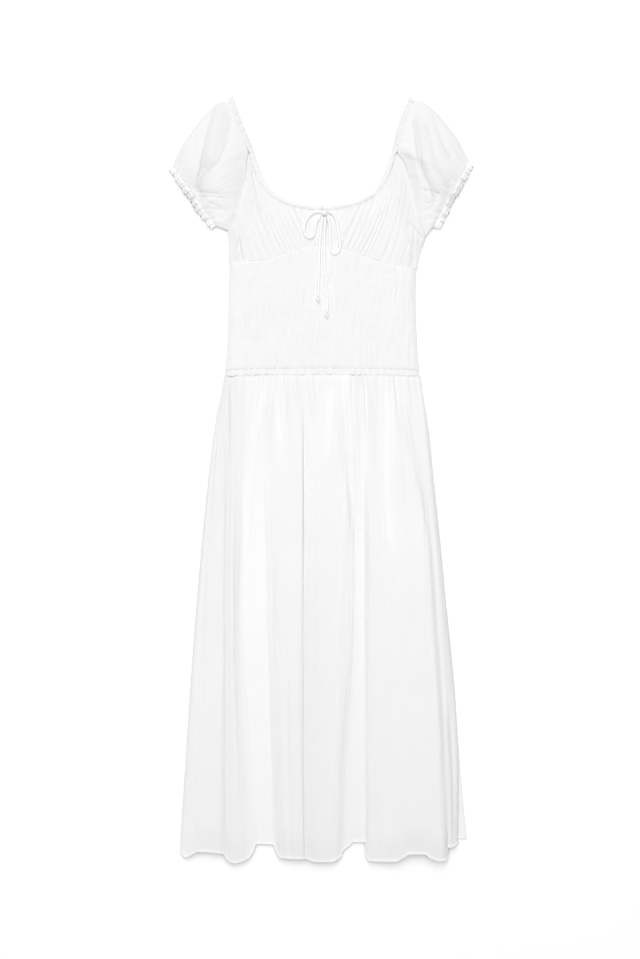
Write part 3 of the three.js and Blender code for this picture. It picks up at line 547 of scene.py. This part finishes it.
# Waist frill. A narrow strip of gauze that stands out of the waist seam over the skirt's gathers,
# ruffled by the gathers behind it, with a scalloped lower edge.
WAIST_FRILL = 12
WAIST_WAVES = 26
FRILL_DEPTH = 1.7
u, v = np.linspace(0, 1, 721), np.linspace(0, 1, 13)[:, None]
across = blend(-side(WAIST, 1), side(WAIST, 2), u)
phase = WAIST_WAVES * u + 0.5 * uneven(u * 17, 0, 41)
wave = crest(phase) * (0.65 + 0.35 * uneven(np.round(phase) * 0.71, 0, 42))
ruffle = 0.5 + 0.5 * uneven(u * 75, v * 1.2, 43)
edge = smooth(np.minimum(u, 1 - u) * 13)
tuck = 1 - smooth(v / 0.25)
drop = waist_seam(across) + blend(SEAM / 2, WAIST_FRILL - SEAM - 2.8 * (1 - wave), v) - 0.2 * tuck
frill_height = bodice_height(across, WAIST) + FRILL_DEPTH * wave * (0.2 + v) * edge - 0.3 * tuck
frill_relief = ruffle * smooth(v / 0.3) * edge
across = across + 0 * v
frill_face = np.dstack([across, LENGTH / 2 - drop, frill_height + frill_relief])
frill_lining = np.dstack([across, LENGTH / 2 - drop, frill_height - WALL])[::4, ::4]
frill_grain = cut_places(u * 460, v * 12)
# Painted shade: the waist frill's colour is painted at 0.9.
waist_frill = sew("waist_frill_gauze", frill_face, frill_lining, frill_grain, 0.9)
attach(waist_frill, "root")
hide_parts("waist_frill")


# Front skirt. One straight piece of gauze, gathered to the waist and lying in long folds that open
# towards a narrow rolled hem. Its lines run from waist to hem, its profile is the height of the
# folds from line to line, and its hem is where the lower edge lies.
SKIRT_DROPS = np.array([446, 525, 834, 1090, 1210])
SKIRT_LINES = np.array([  # across at the five drops
    [-154.5, -170, -201, -218.4, -226],  # left edge
    [-151.5, -151, -154, -154.7, -155],  # deep crease
    [-122, -122, -127, -113, -104],  # flat strip
    [-88, -94, -88, -80.7, -77],
    [-35, -28.5, -29, -28.1, -27.5],  # fold that lies over to the right
    [50, 53, 50, 37, 33],  # flat strip
    [67, 69, 70.5, 70.9, 71],  # fold that lies over to the left
    [154, 163, 181.5, 195, 200],  # right fold
    [158, 169, 200, 219, 218],  # right edge
])
SKIRT_PROFILE = np.array([  # line number and share of the way to the next, height above and below
    [0, 0.3, 0.3], [0.06, 4, 4], [0.2, 8, 8], [0.5, 12.4, 12.4], [0.75, 12.6, 12.6],
    [0.88, 12.4, 12.4], [0.96, 11.5, 11.5], [1.07, 10.1, 10.1], [1.16, 10.3, 10.3],
    [1.25, 11, 11], [1.4, 11.3, 11.3], [1.65, 8, 8], [1.9, 4.5, 4.5], [2.15, 2.4, 2.4],
    [2.8, 2.2, 2.2], [3, 3.2, 3.2], [3.12, 6, 6], [3.35, 11, 11], [3.6, 14.5, 14.5],
    [3.85, 16, 15.6], [3.95, 15.6, 14.6], [3.985, 14.2, 13], [4.012, 9.6, 11.5], [4.06, 10, 11.4],
    [4.15, 12.2, 12.1], [4.3, 14.6, 14.4], [4.6, 15.5, 15.4], [4.8, 11, 11], [4.95, 6, 6],
    [5.1, 3, 3], [5.35, 2, 2], [5.85, 2.5, 2.5], [5.97, 4.6, 4.6], [6.05, 9.6, 8.8],
    [6.13, 12.8, 12.3], [6.3, 16.5, 16.5], [6.6, 19, 19], [6.85, 18.8, 18.8], [7, 16.8, 16.8],
    [7.2, 15, 15], [7.45, 11.5, 11.5], [7.7, 8, 8], [7.88, 4.5, 4.5], [8, 0.3, 0.3],
])
SKIRT_HEM = np.array([  # across, drop
    [-226, 1209], [-217, 1216], [-196, 1206.4], [-158, 1209.6], [-150, 1220.8], [-140, 1224.8],
    [-119, 1219], [-109, 1207], [-104.5, 1195], [-77, 1196], [-73, 1205], [-66.5, 1216],
    [-50, 1217.6], [-28, 1217.6], [-10, 1222.4], [13.6, 1222.4], [29.6, 1216], [34, 1206],
    [45.6, 1197], [51, 1192], [70, 1192], [72.5, 1217.6], [77.6, 1221.6], [117.6, 1221.6],
    [128.8, 1216], [141.6, 1209.6], [164, 1209.6], [173.6, 1216], [189.6, 1220.8], [199, 1219],
    [202, 1200], [209, 1199], [217, 1194],
])
SKIRT_CREASES = [  # depth, width, then the line across and down
    (3.6, 5.5, [
        [132, 500], [145, 562], [161, 626], [174, 694], [180, 770], [184, 837], [189, 901],
        [196, 1029], [200, 1157], [201, 1214],
    ]),
    (1.2, 4, [[-151, 455], [-150, 540], [-151, 640], [-152, 900], [-153, 1210]]),
    (-3, 8, [[112, 455], [110, 500], [106, 560], [104, 650], [109, 702], [117, 755]]),
    (-2.6, 8, [[16, 465], [12, 540], [8, 606]]),
    (2, 5, [[26, 480], [32, 560], [40, 640]]),
    (3, 4, [[-42, 474], [-36, 500], [-31, 522]]),
    (2.2, 4, [[-54, 470], [-50, 520], [-46, 580]]),
    (2, 4, [[-18, 495], [-12, 549]]),
    (2, 3, [[-29, 505], [-26.5, 560], [-26.5, 640], [-27, 760]]),
    (-3, 7, [[-91, 462], [-97, 500], [-107, 560], [-113, 640], [-116, 720]]),
    (-2, 7, [[-73, 470], [-66, 549], [-60, 613]]),
    (2.5, 5, [[-84, 470], [-86, 530], [-88, 600]]),
    (3, 5, [[38, 490], [40, 560], [44, 620], [51, 680], [55, 740]]),
    (-3, 6, [[64, 462], [67, 520], [65, 590], [63, 660]]),
    (2.2, 5, [[78, 470], [80, 540], [84, 620]]),
    (2.5, 4.5, [[203, 980], [209, 1060], [213, 1182]]),
]
SKIRT_GATHERS = 27
SKIRT_GATHER_DEPTH = 1.8
GATHER_LENGTH = 0.15
WAIST_FOLDS = 0.12  # share of the folds' height at the waist
HEM_FOLDS = 0.68  # share of it left at the hem
HEM_DROOP = 42
HEM_BAND = 8
HEM_ROLL = 1.1
CREASE_LEAD = 15  # how far a crease goes on past its line
CREASE_START, CREASE_END = 50, 90  # over which it grows and dies out
LOW_CREASE = 1150  # one that goes below this drop runs out at the hem


def hem_roll(from_hem, height):
    """Height of a rolled hem, a bell curve 1.6 mm in from the edge."""
    return height * bell((from_hem - 1.6) / 1.5)


skirt_length = SKIRT_DROPS[-1] - SKIRT_DROPS[0]
hem_band = HEM_BAND / skirt_length
v = np.concatenate([
    (1 - hem_band) * np.linspace(0, 1, 64, endpoint=False) ** 1.2,
    1 - hem_band + hem_band * np.linspace(0, 1, 9),
])
numbers = np.arange(len(SKIRT_LINES))
steps = np.linspace(0, numbers[-1], 4001)
knee = np.column_stack([
    through(numbers, SKIRT_LINES[:, 2], steps), look_up(SKIRT_PROFILE, steps),
])
cloth_across = distances(knee)
cut_across = np.linspace(0, cloth_across[-1], 961)
at = np.interp(cut_across, cloth_across, steps)
drop = blend(SKIRT_DROPS[0], SKIRT_DROPS[-1], v)
lines = through(SKIRT_DROPS, SKIRT_LINES.T, drop)
across = through(numbers, lines.T, at).T
down = v[:, None]
upper_rise, lower_rise = (look_up(SKIRT_PROFILE, at, column) for column in (1, 2))
rise = blend(upper_rise, lower_rise, smooth((down - 0.2) / 0.3))
hem = look_up(SKIRT_HEM, across[-1])
edge = np.minimum(across - lines[:, :1], lines[:, -1:] - across)
phase = SKIRT_GATHERS * cut_across / cut_across[-1] + 0.45 * uneven(cut_across / 35, 0, 52)
reach = GATHER_LENGTH * (1 + 0.6 * uneven(np.round(phase) * 0.73, 0, 53))
drawn = crest(phase) * (1 - smooth(down / reach)) * smooth(edge / LOFT_RUN)
loft = BODICE_LOFT * smooth(edge / LOFT_RUN) * (1 - smooth(down / 0.3))
grown = blend(WAIST_FOLDS, 1, smooth(down / 0.42))
droop = blend(1, HEM_FOLDS, smooth(1 - (1 - down) * skirt_length / HEM_DROOP))
skirt_height = REST + WALL + loft + grown * droop * rise + SKIRT_GATHER_DEPTH * drawn
tuck = 1 - smooth(down / 0.006)
skirt_height -= 0.9 * tuck
skirt_drop = blend(waist_seam(across) + WAIST_FRILL, hem, down) - 3 * tuck
flat = np.dstack([across, LENGTH / 2 - skirt_drop])

# Painted shade: the skirt's colour is painted greyer where its folds stand high, towards the hem,
# near the gathers at the waist, in its creases, at the upper left, on the flat strip at the right,
# beside the deep crease and past the fold that lies to the right, and painted lighter on its ridges
# and on the slope just left of that strip.
lift = 0.5 * smooth((grown * rise - 2) / 10) + 0.5 * smooth((down - 0.3) / 0.7)
lift += 0.12 + 0.42 * (1 - smooth(down / 0.4))
for depth, width, line in SKIRT_CREASES:
    near = bell(from_line(flat, upright(line)) / width) * smooth(edge / 12)
    near *= smooth((skirt_drop - line[0][1] + CREASE_LEAD) / CREASE_START)
    if line[-1][1] < LOW_CREASE:
        near *= smooth((line[-1][1] + CREASE_LEAD - skirt_drop) / CREASE_END)
    skirt_height -= depth * near
    lift += (0.2 if depth > 0 else 0.27) * depth * near
lift += 0.5 * (1 - smooth((across + 140) / 26)) * (1 - smooth(down / 0.7))
lift += 0.5 * smooth((at - 4.9) / 0.3) * (1 - smooth((at - 5.85) / 0.12))
lift -= 0.5 * bell((at - 4.78) / 0.14)
lift += 0.5 * np.exp(-(at - 1) / 0.35) * (at > 1)
lift += 0.8 * np.exp(-(at - 4) / 0.22) * (at > 4) * smooth((down - 0.2) / 0.25)
lift = np.clip(lift, 0, 2)

skirt_grain = cut_places(cut_across, drop[:, None])
slack = blend(0.5, 1.15, smooth((rise - 3) / 5))
wander = cut_across / 11 + 0.6 * uneven(cut_across / 60, down * 3, 54)
ripple = 1.1 * uneven(wander, down * 2.6, 55) * (1 - 0.4 * down)
relief = slack * (crinkle(skirt_grain, 51) + ripple) * smooth(edge / 8)
roll = hem_roll((1 - down) * skirt_length, HEM_ROLL)
base = np.dstack([flat, skirt_height])
slope = np.gradient(base, axis=1)
square = unit(np.dstack([-slope[..., 2], 0 * across, slope[..., 0]]))
skirt_face = base + square * (relief + roll)[..., None]
skirt_lining = (base - WALL * square)[::4, ::4]
front_skirt = sew("front_skirt_gauze", skirt_face, skirt_lining, skirt_grain, lift)
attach(front_skirt, "root")
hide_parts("front_skirt")
stitch("hem_stitches", [skirt_face[-5]])


# Back skirt. A plain piece of gauze, flat on the surface under the front, which shows only past the
# front's right edge at the hem. It has the same narrow rolled hem.
BACK_HEM = 1187
BACK_ROLL = 0.8
BACK_SKIRT = np.array([  # drop, left, right
    [WAIST + SEAM, 152, 154], [455, 153, 158], [500, 163, 166], [550, 171, 174], [645, 181, 181],
    [740, 190, 190], [835, 198, 202], [935, 206, 212], [1030, 213, 218], [1125, 219, 226],
    [BACK_HEM, 222, 232],
])
u = np.linspace(0, 1, 481)
drop = np.concatenate([
    np.linspace(WAIST + SEAM, BACK_HEM - HEM_BAND, 56, endpoint=False),
    np.linspace(BACK_HEM - HEM_BAND, BACK_HEM, 9),
])
left, right = (look_up(BACK_SKIRT, drop, column)[:, None] for column in (1, 2))
across = blend(-left, right, u)
level = LENGTH / 2 - drop[:, None] + 0 * across
back_grain = cut_places(u * 440, drop[:, None])
upper, under = flat_heights(crinkle(back_grain, 61))
upper = upper + hem_roll(BACK_HEM - drop[:, None], BACK_ROLL)
# Painted shade: the back skirt's colour is painted at 1, greyer than the front, where it lies in the
# front's shade.
back_skirt = sew(
    "back_skirt_gauze", np.dstack([across, level, upper]),
    np.dstack([across, level, under])[::2, ::2], back_grain, 1,
)
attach(back_skirt, "root")
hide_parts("back_skirt")


# Neck casing. A narrow tunnel of gauze turned over the bust's neck edge for the string, in two
# halves that stop at the slit, puckered where the string draws it up.
CASING = np.array([[0, 1.1], [0.45, 4], [1, 1.7]])  # share of its width in from the edge, height
FINE_PITCH = 2.6
u, v = np.linspace(0, 1, 241), np.linspace(0, 1, 17)
for name, mirrored, seed in (("left", False, 71), ("right", True, 75)):
    share = blend(corner_share - 1.5 / neck_length, 0.5 - 0.4 / neck_length, u)
    share = 1 - share if mirrored else share
    places = np.stack([neck_place(share, (NECK_CASING + 0.8) * inset) for inset in v])
    pucker = uneven(u * 34 + 0.4 * uneven(u * 9, 0, seed), v[:, None] * 1.3, seed + 1)
    height = REST + look_up(CASING, v)[:, None] + 0 * u
    rounded = np.sin(np.pi * np.clip(v, 0.03, 0.97))[:, None]
    ridge = blend(0.95, 0.45, smooth(u / 0.35)) * pucker * rounded
    face = np.dstack([places, height + ridge])
    lining = np.dstack([places, np.full(height.shape, REST)])[::4, ::4]
    grain = cut_places(v[:, None] * 16, u * 150)
    casing = sew(f"neck_casing_{name}_gauze", face, lining, grain)
    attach(casing, "root")
    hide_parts(f"neck_casing_{name}")
    stitch(f"casing_stitches_{name}", [face[-5]], FINE_PITCH)


# Sleeves. Raglan puff sleeves, one tube of gauze each, laid flat with the upper layer puffed and
# creased, gathered into the neck, the raglan seam and the cuff's elastic.
SLEEVE_EDGE = 3.4
SLEEVE_PUFF = 24
SLEEVE_INSET = 0.012
NECK_FRILL = 7
PUFF = np.array([[0, 0.13], [0.25, 0.72], [0.5, 1], [0.75, 0.84], [1, 0.4]])  # share along, height
SLEEVE_LEFT = [  # the folded outer edge: across, drop
    [-151, 10], [-158, 8], [-182, 26], [-209, 59], [-225, 83], [-236.8, 112],
]
SLEEVE_RIGHT = [[149.5, 10], [156, 7], [178, 22], [201, 47], [218, 70], [235, 104]]
CUFF_LEFT, CUFF_RIGHT = [-168.8, 208], [179, 209]
CREASES_LEFT = [  # depth, width to the left and right of the line as it runs, then across and down
    (7, 9.5, 2.6, [[-172, 21], [-179, 53], [-186.4, 91], [-193, 123], [-197.6, 142], [-199, 150]]),
    (6, 3, 9.5, [[-145, 18], [-146.4, 46], [-154.4, 78], [-165.6, 107], [-181.6, 120]]),
    (1.6, 3, 4, [[-162.4, 40], [-165, 66], [-167.2, 94]]),
    (1.3, 3, 3, [[-156, 30], [-158, 52], [-160, 72]]),
    (2.6, 3, 2.5, [[-194, 155], [-180, 157], [-165.6, 158.4]]),
    (2.2, 3, 2.5, [[-191, 162], [-175, 163], [-159, 165]]),
    (2.2, 3, 2.5, [[-181.6, 171], [-170, 176], [-159, 181]]),
    (2.2, 2.5, 2.5, [[-178, 181], [-164, 183], [-150, 184]]),
    (1.6, 2.5, 2.5, [[-162, 193.6], [-150, 200]]),
    (1.6, 3, 3, [[-220, 85], [-225, 98], [-228, 110]]),
    (1.4, 3, 4, [[-200, 66], [-202, 94]]),
]
CREASES_RIGHT = [
    (7, 9.5, 2.6, [[148, 43], [151.2, 69], [156, 110], [164.5, 133], [175, 152], [181, 163]]),
    (5, 3, 8, [[176.8, 26], [186.4, 56], [196, 82], [205.6, 98]]),
    (4, 3, 7, [[168, 52], [173.6, 85], [183.2, 117], [202.4, 139]]),
    (1.6, 3, 3, [[212, 85], [225, 101]]),
    (3, 3, 2.5, [[164, 153.6], [175, 155], [186.4, 158.4]]),
    (1.8, 2.5, 2.5, [[192.8, 145.6], [202.4, 148.8]]),
    (2, 3, 2.5, [[166, 174], [183, 170]]),
    (2, 3, 2.5, [[157.6, 187], [168, 182], [176.8, 177.6]]),
    (1.6, 3, 3, [[160, 199], [174, 194]]),
]


def sleeve_dome(share):
    """Rise of the upper layer from 0 to 1 across the sleeve: the sine's 0.7th power, which falls to
    its 0.45th on the raglan seam's side, where it is lower by up to three tenths."""
    power = blend(0.7, 0.45, smooth((share - 0.8) / 0.2))
    return np.sin(np.pi * np.clip(share, 0, 1)) ** power * (1 - 0.3 * smooth((share - 0.55) / 0.35))


def sleeve_places(edges, share, down):
    """Places in a sleeve at shares round it, from fold to underarm, and down it, root to cuff."""
    root, cuff_line, fold, underarm = edges
    top, bottom = along(root, share), along(cuff_line, share)
    return patch(top, bottom, along(fold, down), along(underarm, down), share, down)


def sleeve_creases(creases, places, down):
    """Depth of the folds at places on a sleeve, each steeper on one side of its line."""
    creased = 0
    for depth, before, behind, line in creases:
        away = from_line(places, upright(line))
        width = np.where(away > 0, before, behind)
        creased += depth * np.exp(-np.sqrt(away ** 2 + 0.3) / width)
    return creased * (smooth(down / 0.12) * smooth((1 - down) / 0.06))[:, None]


def sleeve_height(share, down, creased, seed):
    """Height of the upper layer: a dome across the sleeve times the puff along it, with gathers at
    both ends, less the folds."""
    drawn = 1.4 - smooth((1 - down) / 0.4) - 0.4 * smooth(down / 0.25)
    gather = 1.5 * drawn[:, None] * uneven(share * 34, down[:, None] * 2.4, seed)
    puff = SLEEVE_PUFF * look_up(PUFF, down)[:, None]
    return SLEEVE_EDGE + sleeve_dome(share) * (puff + gather - creased)


down = np.linspace(0, 1, 97)
upper, lower = np.linspace(0, 1, 201), np.linspace(1, 0, 41)[1:-1]
around = np.concatenate([upper, lower])
inside = blend(SLEEVE_INSET, 1 - SLEEVE_INSET, around)
layer = np.repeat([1, 0], [len(upper), len(lower)])
cuffs = []
for name, mirrored, outer, raglan, cuff, creases, seed in (
    ("left", False, SLEEVE_LEFT, RAGLAN_LEFT, CUFF_LEFT, CREASES_LEFT, 81),
    ("right", True, SLEEVE_RIGHT, RAGLAN_RIGHT, CUFF_RIGHT, CREASES_RIGHT, 91),
):
    sign = 1 if mirrored else -1
    fold = curve_through(upright(outer))
    share = corner_share * np.array([0.1, 0.3, 0.55, 0.8, 1])
    inset = np.array([[NECK_FRILL]] * 4 + [[NECK_CASING]]) + SEAM
    neck_part = neck_place(1 - share if mirrored else share, inset)
    seam_part = np.vstack([neck_part[4:], upright(raglan)]) + [sign * SEAM * 1.5, 0]
    root = curve_through(np.vstack([fold[:1], neck_part[:4], seam_part]))
    cuff_line = np.vstack([fold[-1:], upright([cuff])])
    edges = root, cuff_line, fold, np.vstack([root[-1:], cuff_line[1:]])
    face = sleeve_places(edges, around, down)
    creased = sleeve_creases(creases, face, down)
    # Painted shade: the sleeve's colour is painted greyer on its half towards the fold and deeper in
    # its creases, and lighter towards the raglan seam.
    lift = blend(0.95, 0.1, smooth((around - 0.45) / 0.4)) + 0.17 * creased
    grain = cut_places(around * 240 + 260 * (1 - layer), down[:, None] * 170)
    relief = 0.8 * crinkle(grain, seed + 1)
    sides = smooth(np.minimum(around, 1 - around) / 0.04)
    height = sleeve_height(around, down, creased, seed) + relief * sides
    height = np.where(layer > 0, height, 0.15 + 0.5 * relief)
    face = np.dstack([face, np.maximum(height, 0)])
    lining = sleeve_places(edges, inside, down)
    height = sleeve_height(inside, down, sleeve_creases(creases, lining, down), seed)
    lining = np.dstack([lining, np.where(layer > 0, height - WALL, WALL)])[::4, ::4]
    sleeve = sew(f"sleeve_{name}_gauze", face, lining, grain, lift, ring=True)
    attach(sleeve, "root")
    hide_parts(f"sleeve_{name}")
    stitch(f"cuff_stitches_{name}", [face[-2, :len(upper)]], FINE_PITCH)
    cuffs.append((name, sign, cuff_line, sleeve, seed))


# Cuff frills. The sleeve's edge past the cuff's elastic, a ruffled ring of gauze with a scalloped
# rim. It reaches out from the cuff's line, least at the gaps between its lobes, and its upper layer
# follows the sleeve's dome at the elastic and the lobes at the rim.
CUFF_LOBES = 8
LOBE_REACH = 4.4
LOBE_HEIGHT = 5.4
GAP_REACH = 6.4
down = np.linspace(0, 1, 13)
upper, lower = np.linspace(0, 1, 337), np.linspace(1, 0, 49)[1:-1]
around = np.concatenate([upper, lower])
inside = blend(SLEEVE_INSET, 1 - SLEEVE_INSET, around)
layer = np.repeat([1, 0], [len(upper), len(lower)])
drawn = SLEEVE_PUFF * PUFF[-1, 1] * (1 - smooth(down))[:, None]
grain = cut_places(around * 240 + 260 * (1 - layer), down[:, None] * 14)
for name, sign, cuff_line, sleeve, seed in cuffs:
    run = unit(cuff_line[1] - cuff_line[0])
    outward = sign * np.array([-run[1], run[0]])
    phase = CUFF_LOBES * around + 1.2 * uneven(around * 6, layer * 5, seed + 3)
    depth = 0.75 + 0.5 * uneven(np.round(phase) * 0.73, layer * 5, seed + 4)
    gap = depth * bell((phase - np.round(phase)) / 0.15)
    lobe = 0.85 - 0.8 * gap + 0.3 * uneven(around * 44, layer * 5, seed + 5)
    shells = []
    for share, thickness in ((around, 0), (inside, WALL)):
        ends = smooth(np.minimum(share, 1 - share) / 0.07)
        rim = (GAP_REACH + LOBE_REACH * lobe) * blend(0.85, 1, ends)
        reach = blend(SEAM - 0.6, rim, down[:, None])
        base = along(cuff_line, share)[None] + reach[..., None] * outward
        stand = sleeve_dome(share) * (drawn + LOBE_HEIGHT * lobe * smooth(down / 0.6)[:, None])
        height = np.where(layer > 0, SLEEVE_EDGE + stand - thickness, thickness)
        shells.append(np.dstack([base, height]))
    face, lining = shells[0], shells[1][::4, ::4]
    # Painted shade: the cuff frills' colour is painted at 0, the whitest of the gauze.
    frill = sew(f"cuff_frill_{name}_gauze", face, lining, grain, 0, ring=True)
    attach(frill, "root")
    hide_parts(f"cuff_frill_{name}")


# Neck frills. The sleeve's neck edge past its elastic, a narrow ruffle from the casing up to the
# shoulder point on each side, drawn in by a few puckers.
NECK_PUCKERS = 6
u, v = np.linspace(0, 1, 241), np.linspace(0, 1, 13)
for name, mirrored, seed in (("left", False, 101), ("right", True, 105)):
    share = blend(0, corner_share + 2.5 / neck_length, u)
    share = 1 - share if mirrored else share
    phase = NECK_PUCKERS * u + 0.9 * uneven(u * 4, 0, seed)
    depth = 0.55 + 0.45 * uneven(np.round(phase) * 0.73, 0, seed + 1)
    pucker = depth * bell((phase - np.round(phase)) / 0.13)
    tip = smooth((u + 0.02) / 0.06)
    insets = (NECK_FRILL + 0.6) * v[:, None] * tip + 1.2 * pucker * (1 - v[:, None])
    places = np.stack([neck_place(share, inset[:, None]) for inset in insets])
    root = SLEEVE_EDGE + SLEEVE_PUFF * PUFF[0, 1] * np.sin(0.4 * np.pi * u) ** 0.7 - 0.3
    middle = np.sin(np.pi * v)[:, None]
    height = blend(REST + 1.4, root, smooth(v)[:, None]) + (0.9 - 1.8 * pucker) * middle
    ruffle = 0.4 * uneven(u * 34, v[:, None] * 1.4, seed + 2) * middle
    grain = cut_places(u * 140, v[:, None] * 8)
    # Painted shade: the neck frills' colour is painted at 1.2, greyer than most of the gauze.
    frill = sew(
        f"neck_frill_{name}_gauze", np.dstack([places, height + ruffle]),
        np.dstack([places, height - WALL])[::4, ::4], grain, 1.2,
    )
    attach(frill, "root")
    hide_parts(f"neck_frill_{name}")


# Drawstring. A narrow tube of cotton turned right side out, drawn through the casing and tied in a
# bow over the slit, with a knot at the end of each tail. Its colour is painted whiter than the
# gauze, painted light that softens the shade along its sides.
# Painted light: the string's painted shade is below zero, so its colour is whiter than the gauze.
STRING_PAINTED_SHADE = -0.6
TIE_DIAMETER = 3.4
TIE_SIDES = 16
TIE_HEIGHT = 10
TIE_FLATNESS = 0.56
TIE_ROUTES = {
    "tie_loop_left": [
        [-3.2, 185.5], [-8.5, 185], [-14.5, 187.5], [-20, 193], [-24.5, 200], [-27.3, 208],
        [-27.8, 216], [-25, 223], [-19, 226.5], [-13, 223.5], [-10.5, 217], [-9.8, 210],
        [-8.5, 203.5], [-5.5, 197.5], [-1.8, 192.8],
    ],
    "tie_loop_right": [
        [11.2, 185.5], [16.5, 187], [20.5, 191.5], [23.3, 198], [25.3, 206], [27, 215],
        [28.4, 224], [29.2, 233], [29.2, 242], [26.5, 249.5], [20.5, 252.3], [15.4, 247.5],
        [14.2, 239], [14, 230], [13.8, 221], [13.4, 212], [12.6, 203.5], [10, 194.6],
    ],
    "tie_tail_left": [
        [1.6, 193.2], [0.6, 200], [-0.4, 208], [-1.4, 217], [-2.2, 226], [-2.7, 235], [-3.1, 244],
        [-3.4, 253], [-3.6, 262], [-3.8, 271], [-4.1, 280], [-4.4, 289], [-4.6, 298], [-4.8, 308],
        [-5, 320],
    ],
    "tie_tail_right": [
        [6, 193.2], [5.8, 201], [5.2, 210], [4.8, 220], [4.6, 230], [4.6, 240], [4.6, 250],
        [4.7, 260], [5, 270], [5.6, 280], [6.4, 290], [7.2, 300], [8, 310], [8.8, 322],
        [9.2, 334], [8.8, 345],
    ],
}
TIE_KNOTS = {  # across, drop, height, and half its width, length and height
    "tie_knot": [4, 186.5, 12.2, 6.4, 4.6, 3.2],
    "tie_end_left": [-5.2, 325, 11.9, 3.2, 4.6, 2.9],
    "tie_end_right": [8.4, 350, 11.9, 3.2, 4.6, 2.9],
}
string = gauze.copy()
string.name = "cotton_string"


def tube(name, line, radius, closed=False):
    """A round tube along a line: rings of places square to it, the upright as near to straight up
    as the line lets it be, with fine slanting wrinkles. An open tube has rounded ends."""
    run = np.gradient(line, axis=0)
    if closed:
        run = np.roll(line, -1, axis=0) - np.roll(line, 1, axis=0)
    run = unit(run)
    sideways = unit(np.cross([0.05, 0.03, 1], run))
    upward = np.cross(run, sideways)
    turn = np.linspace(0, 2 * np.pi, TIE_SIDES, endpoint=False)
    reach = distances(line)
    slant = turn * 4 / np.pi + reach[:, None]
    size = radius * (1 + 0.05 * uneven(slant, reach[:, None] / 2, 111))
    if not closed:
        ends = np.minimum(reach, reach[-1] - reach) / radius
        size *= np.sqrt(np.clip(1 - (1 - np.clip(ends, 0, 1)) ** 2, 0.04, 1))[:, None]
    to_side = np.cos(turn)[:, None] * sideways[:, None]
    to_top = TIE_FLATNESS * np.sin(turn)[:, None] * upward[:, None]
    rings = line[:, None] + size[..., None] * (to_side + to_top)
    grid = np.arange(len(line) * TIE_SIDES).reshape(-1, TIE_SIDES)
    grid = np.hstack([grid, grid[:, :1]])
    if closed:
        grid = np.vstack([grid, grid[:1]])
    blocks = [quads(grid)]
    if not closed:
        blocks.append(np.stack([grid[0, :-1], grid[-1, -2::-1]]))
    cut = cut_places(turn * radius, reach[:, None]).reshape(-1, 2) / 1000
    painted_shades = np.full(len(cut), STRING_PAINTED_SHADE)
    return make_piece(name, rings.reshape(-1, 3) / 1000, blocks, cut, painted_shades, string)


knots = {}
for name, (across, drop, height, wide, long, high) in TIE_KNOTS.items():
    t = np.linspace(0, 2 * np.pi, 120, endpoint=False)
    strand = 0.34 * min(wide, long)
    shape = np.column_stack([
        (np.sin(t) + 2 * np.sin(2 * t)) / 3, (np.cos(t) - 2 * np.cos(2 * t)) / 3, -np.sin(3 * t),
    ])
    room = np.array([wide, long, high]) - strand
    centre = [across, LENGTH / 2 - drop, height]
    knot = tube(f"{name}_cotton", centre + shape * room, strand, closed=True)
    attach(knot, "root")
    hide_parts(name)
    knots[name] = knot

for name, route in TIE_ROUTES.items():
    line = np.column_stack([upright(route), np.full(len(route), TIE_HEIGHT)])
    line = curve_through(line, 12)
    cord = tube(f"{name}_cotton", line, TIE_DIAMETER / 2)
    end = knots.get(name.replace("tail", "end"))
    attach(cord, "root")
    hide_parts(name)


# Studio. The dress lies on a white floor under a wide overhead light and a weaker key light past
# its neck, with white all round, and the camera looks straight down at it.
FLOOR_HALF = 6
FLOOR_LEVEL = -0.0004
floor_material = bpy.data.materials.new("white_floor")
floor_material.use_nodes = True
floor_look = floor_material.node_tree.nodes["Principled BSDF"].inputs
floor_look["Base Color"].default_value = linear("#f8f8f8")
floor_look["Roughness"].default_value = 0.9
floor_mesh = bpy.data.meshes.new("floor")
floor_corners = [
    (x * FLOOR_HALF, y * FLOOR_HALF, FLOOR_LEVEL) for x, y in ((-1, -1), (1, -1), (1, 1), (-1, 1))
]
floor_mesh.from_pydata(floor_corners, [], [(0, 1, 2, 3)])
floor_mesh.materials.append(floor_material)
floor = bpy.data.objects.new("floor", floor_mesh)
bpy.context.collection.objects.link(floor)

world = bpy.data.worlds.new("studio")
world.use_nodes = True
surroundings = world.node_tree.nodes["Background"].inputs
surroundings["Color"].default_value = (1, 1, 1, 1)
surroundings["Strength"].default_value = 0.368
bpy.context.scene.world = world
for name, watts, size, place in (
    ("overhead_light", 322, 6, (-0.25, 1.0, 6.1)),
    ("key_light", 126, 3, (-0.5, 6.0, 6.0)),
):
    lamp = bpy.data.lights.new(name, "AREA")
    lamp.energy = watts
    lamp.size = size
    light = bpy.data.objects.new(name, lamp)
    light.location = place
    light.rotation_euler = (-Vector(place)).to_track_quat("-Z", "Y").to_euler()
    bpy.context.collection.objects.link(light)

lens = bpy.data.cameras.new("camera")
lens.lens = 70.4
lens.sensor_width = 36
camera = bpy.data.objects.new("camera", lens)
camera.location = (-0.0024, 0.0005, 3.0)
bpy.context.collection.objects.link(camera)
bpy.context.scene.camera = camera
bpy.context.scene.view_settings.view_transform = "Standard"
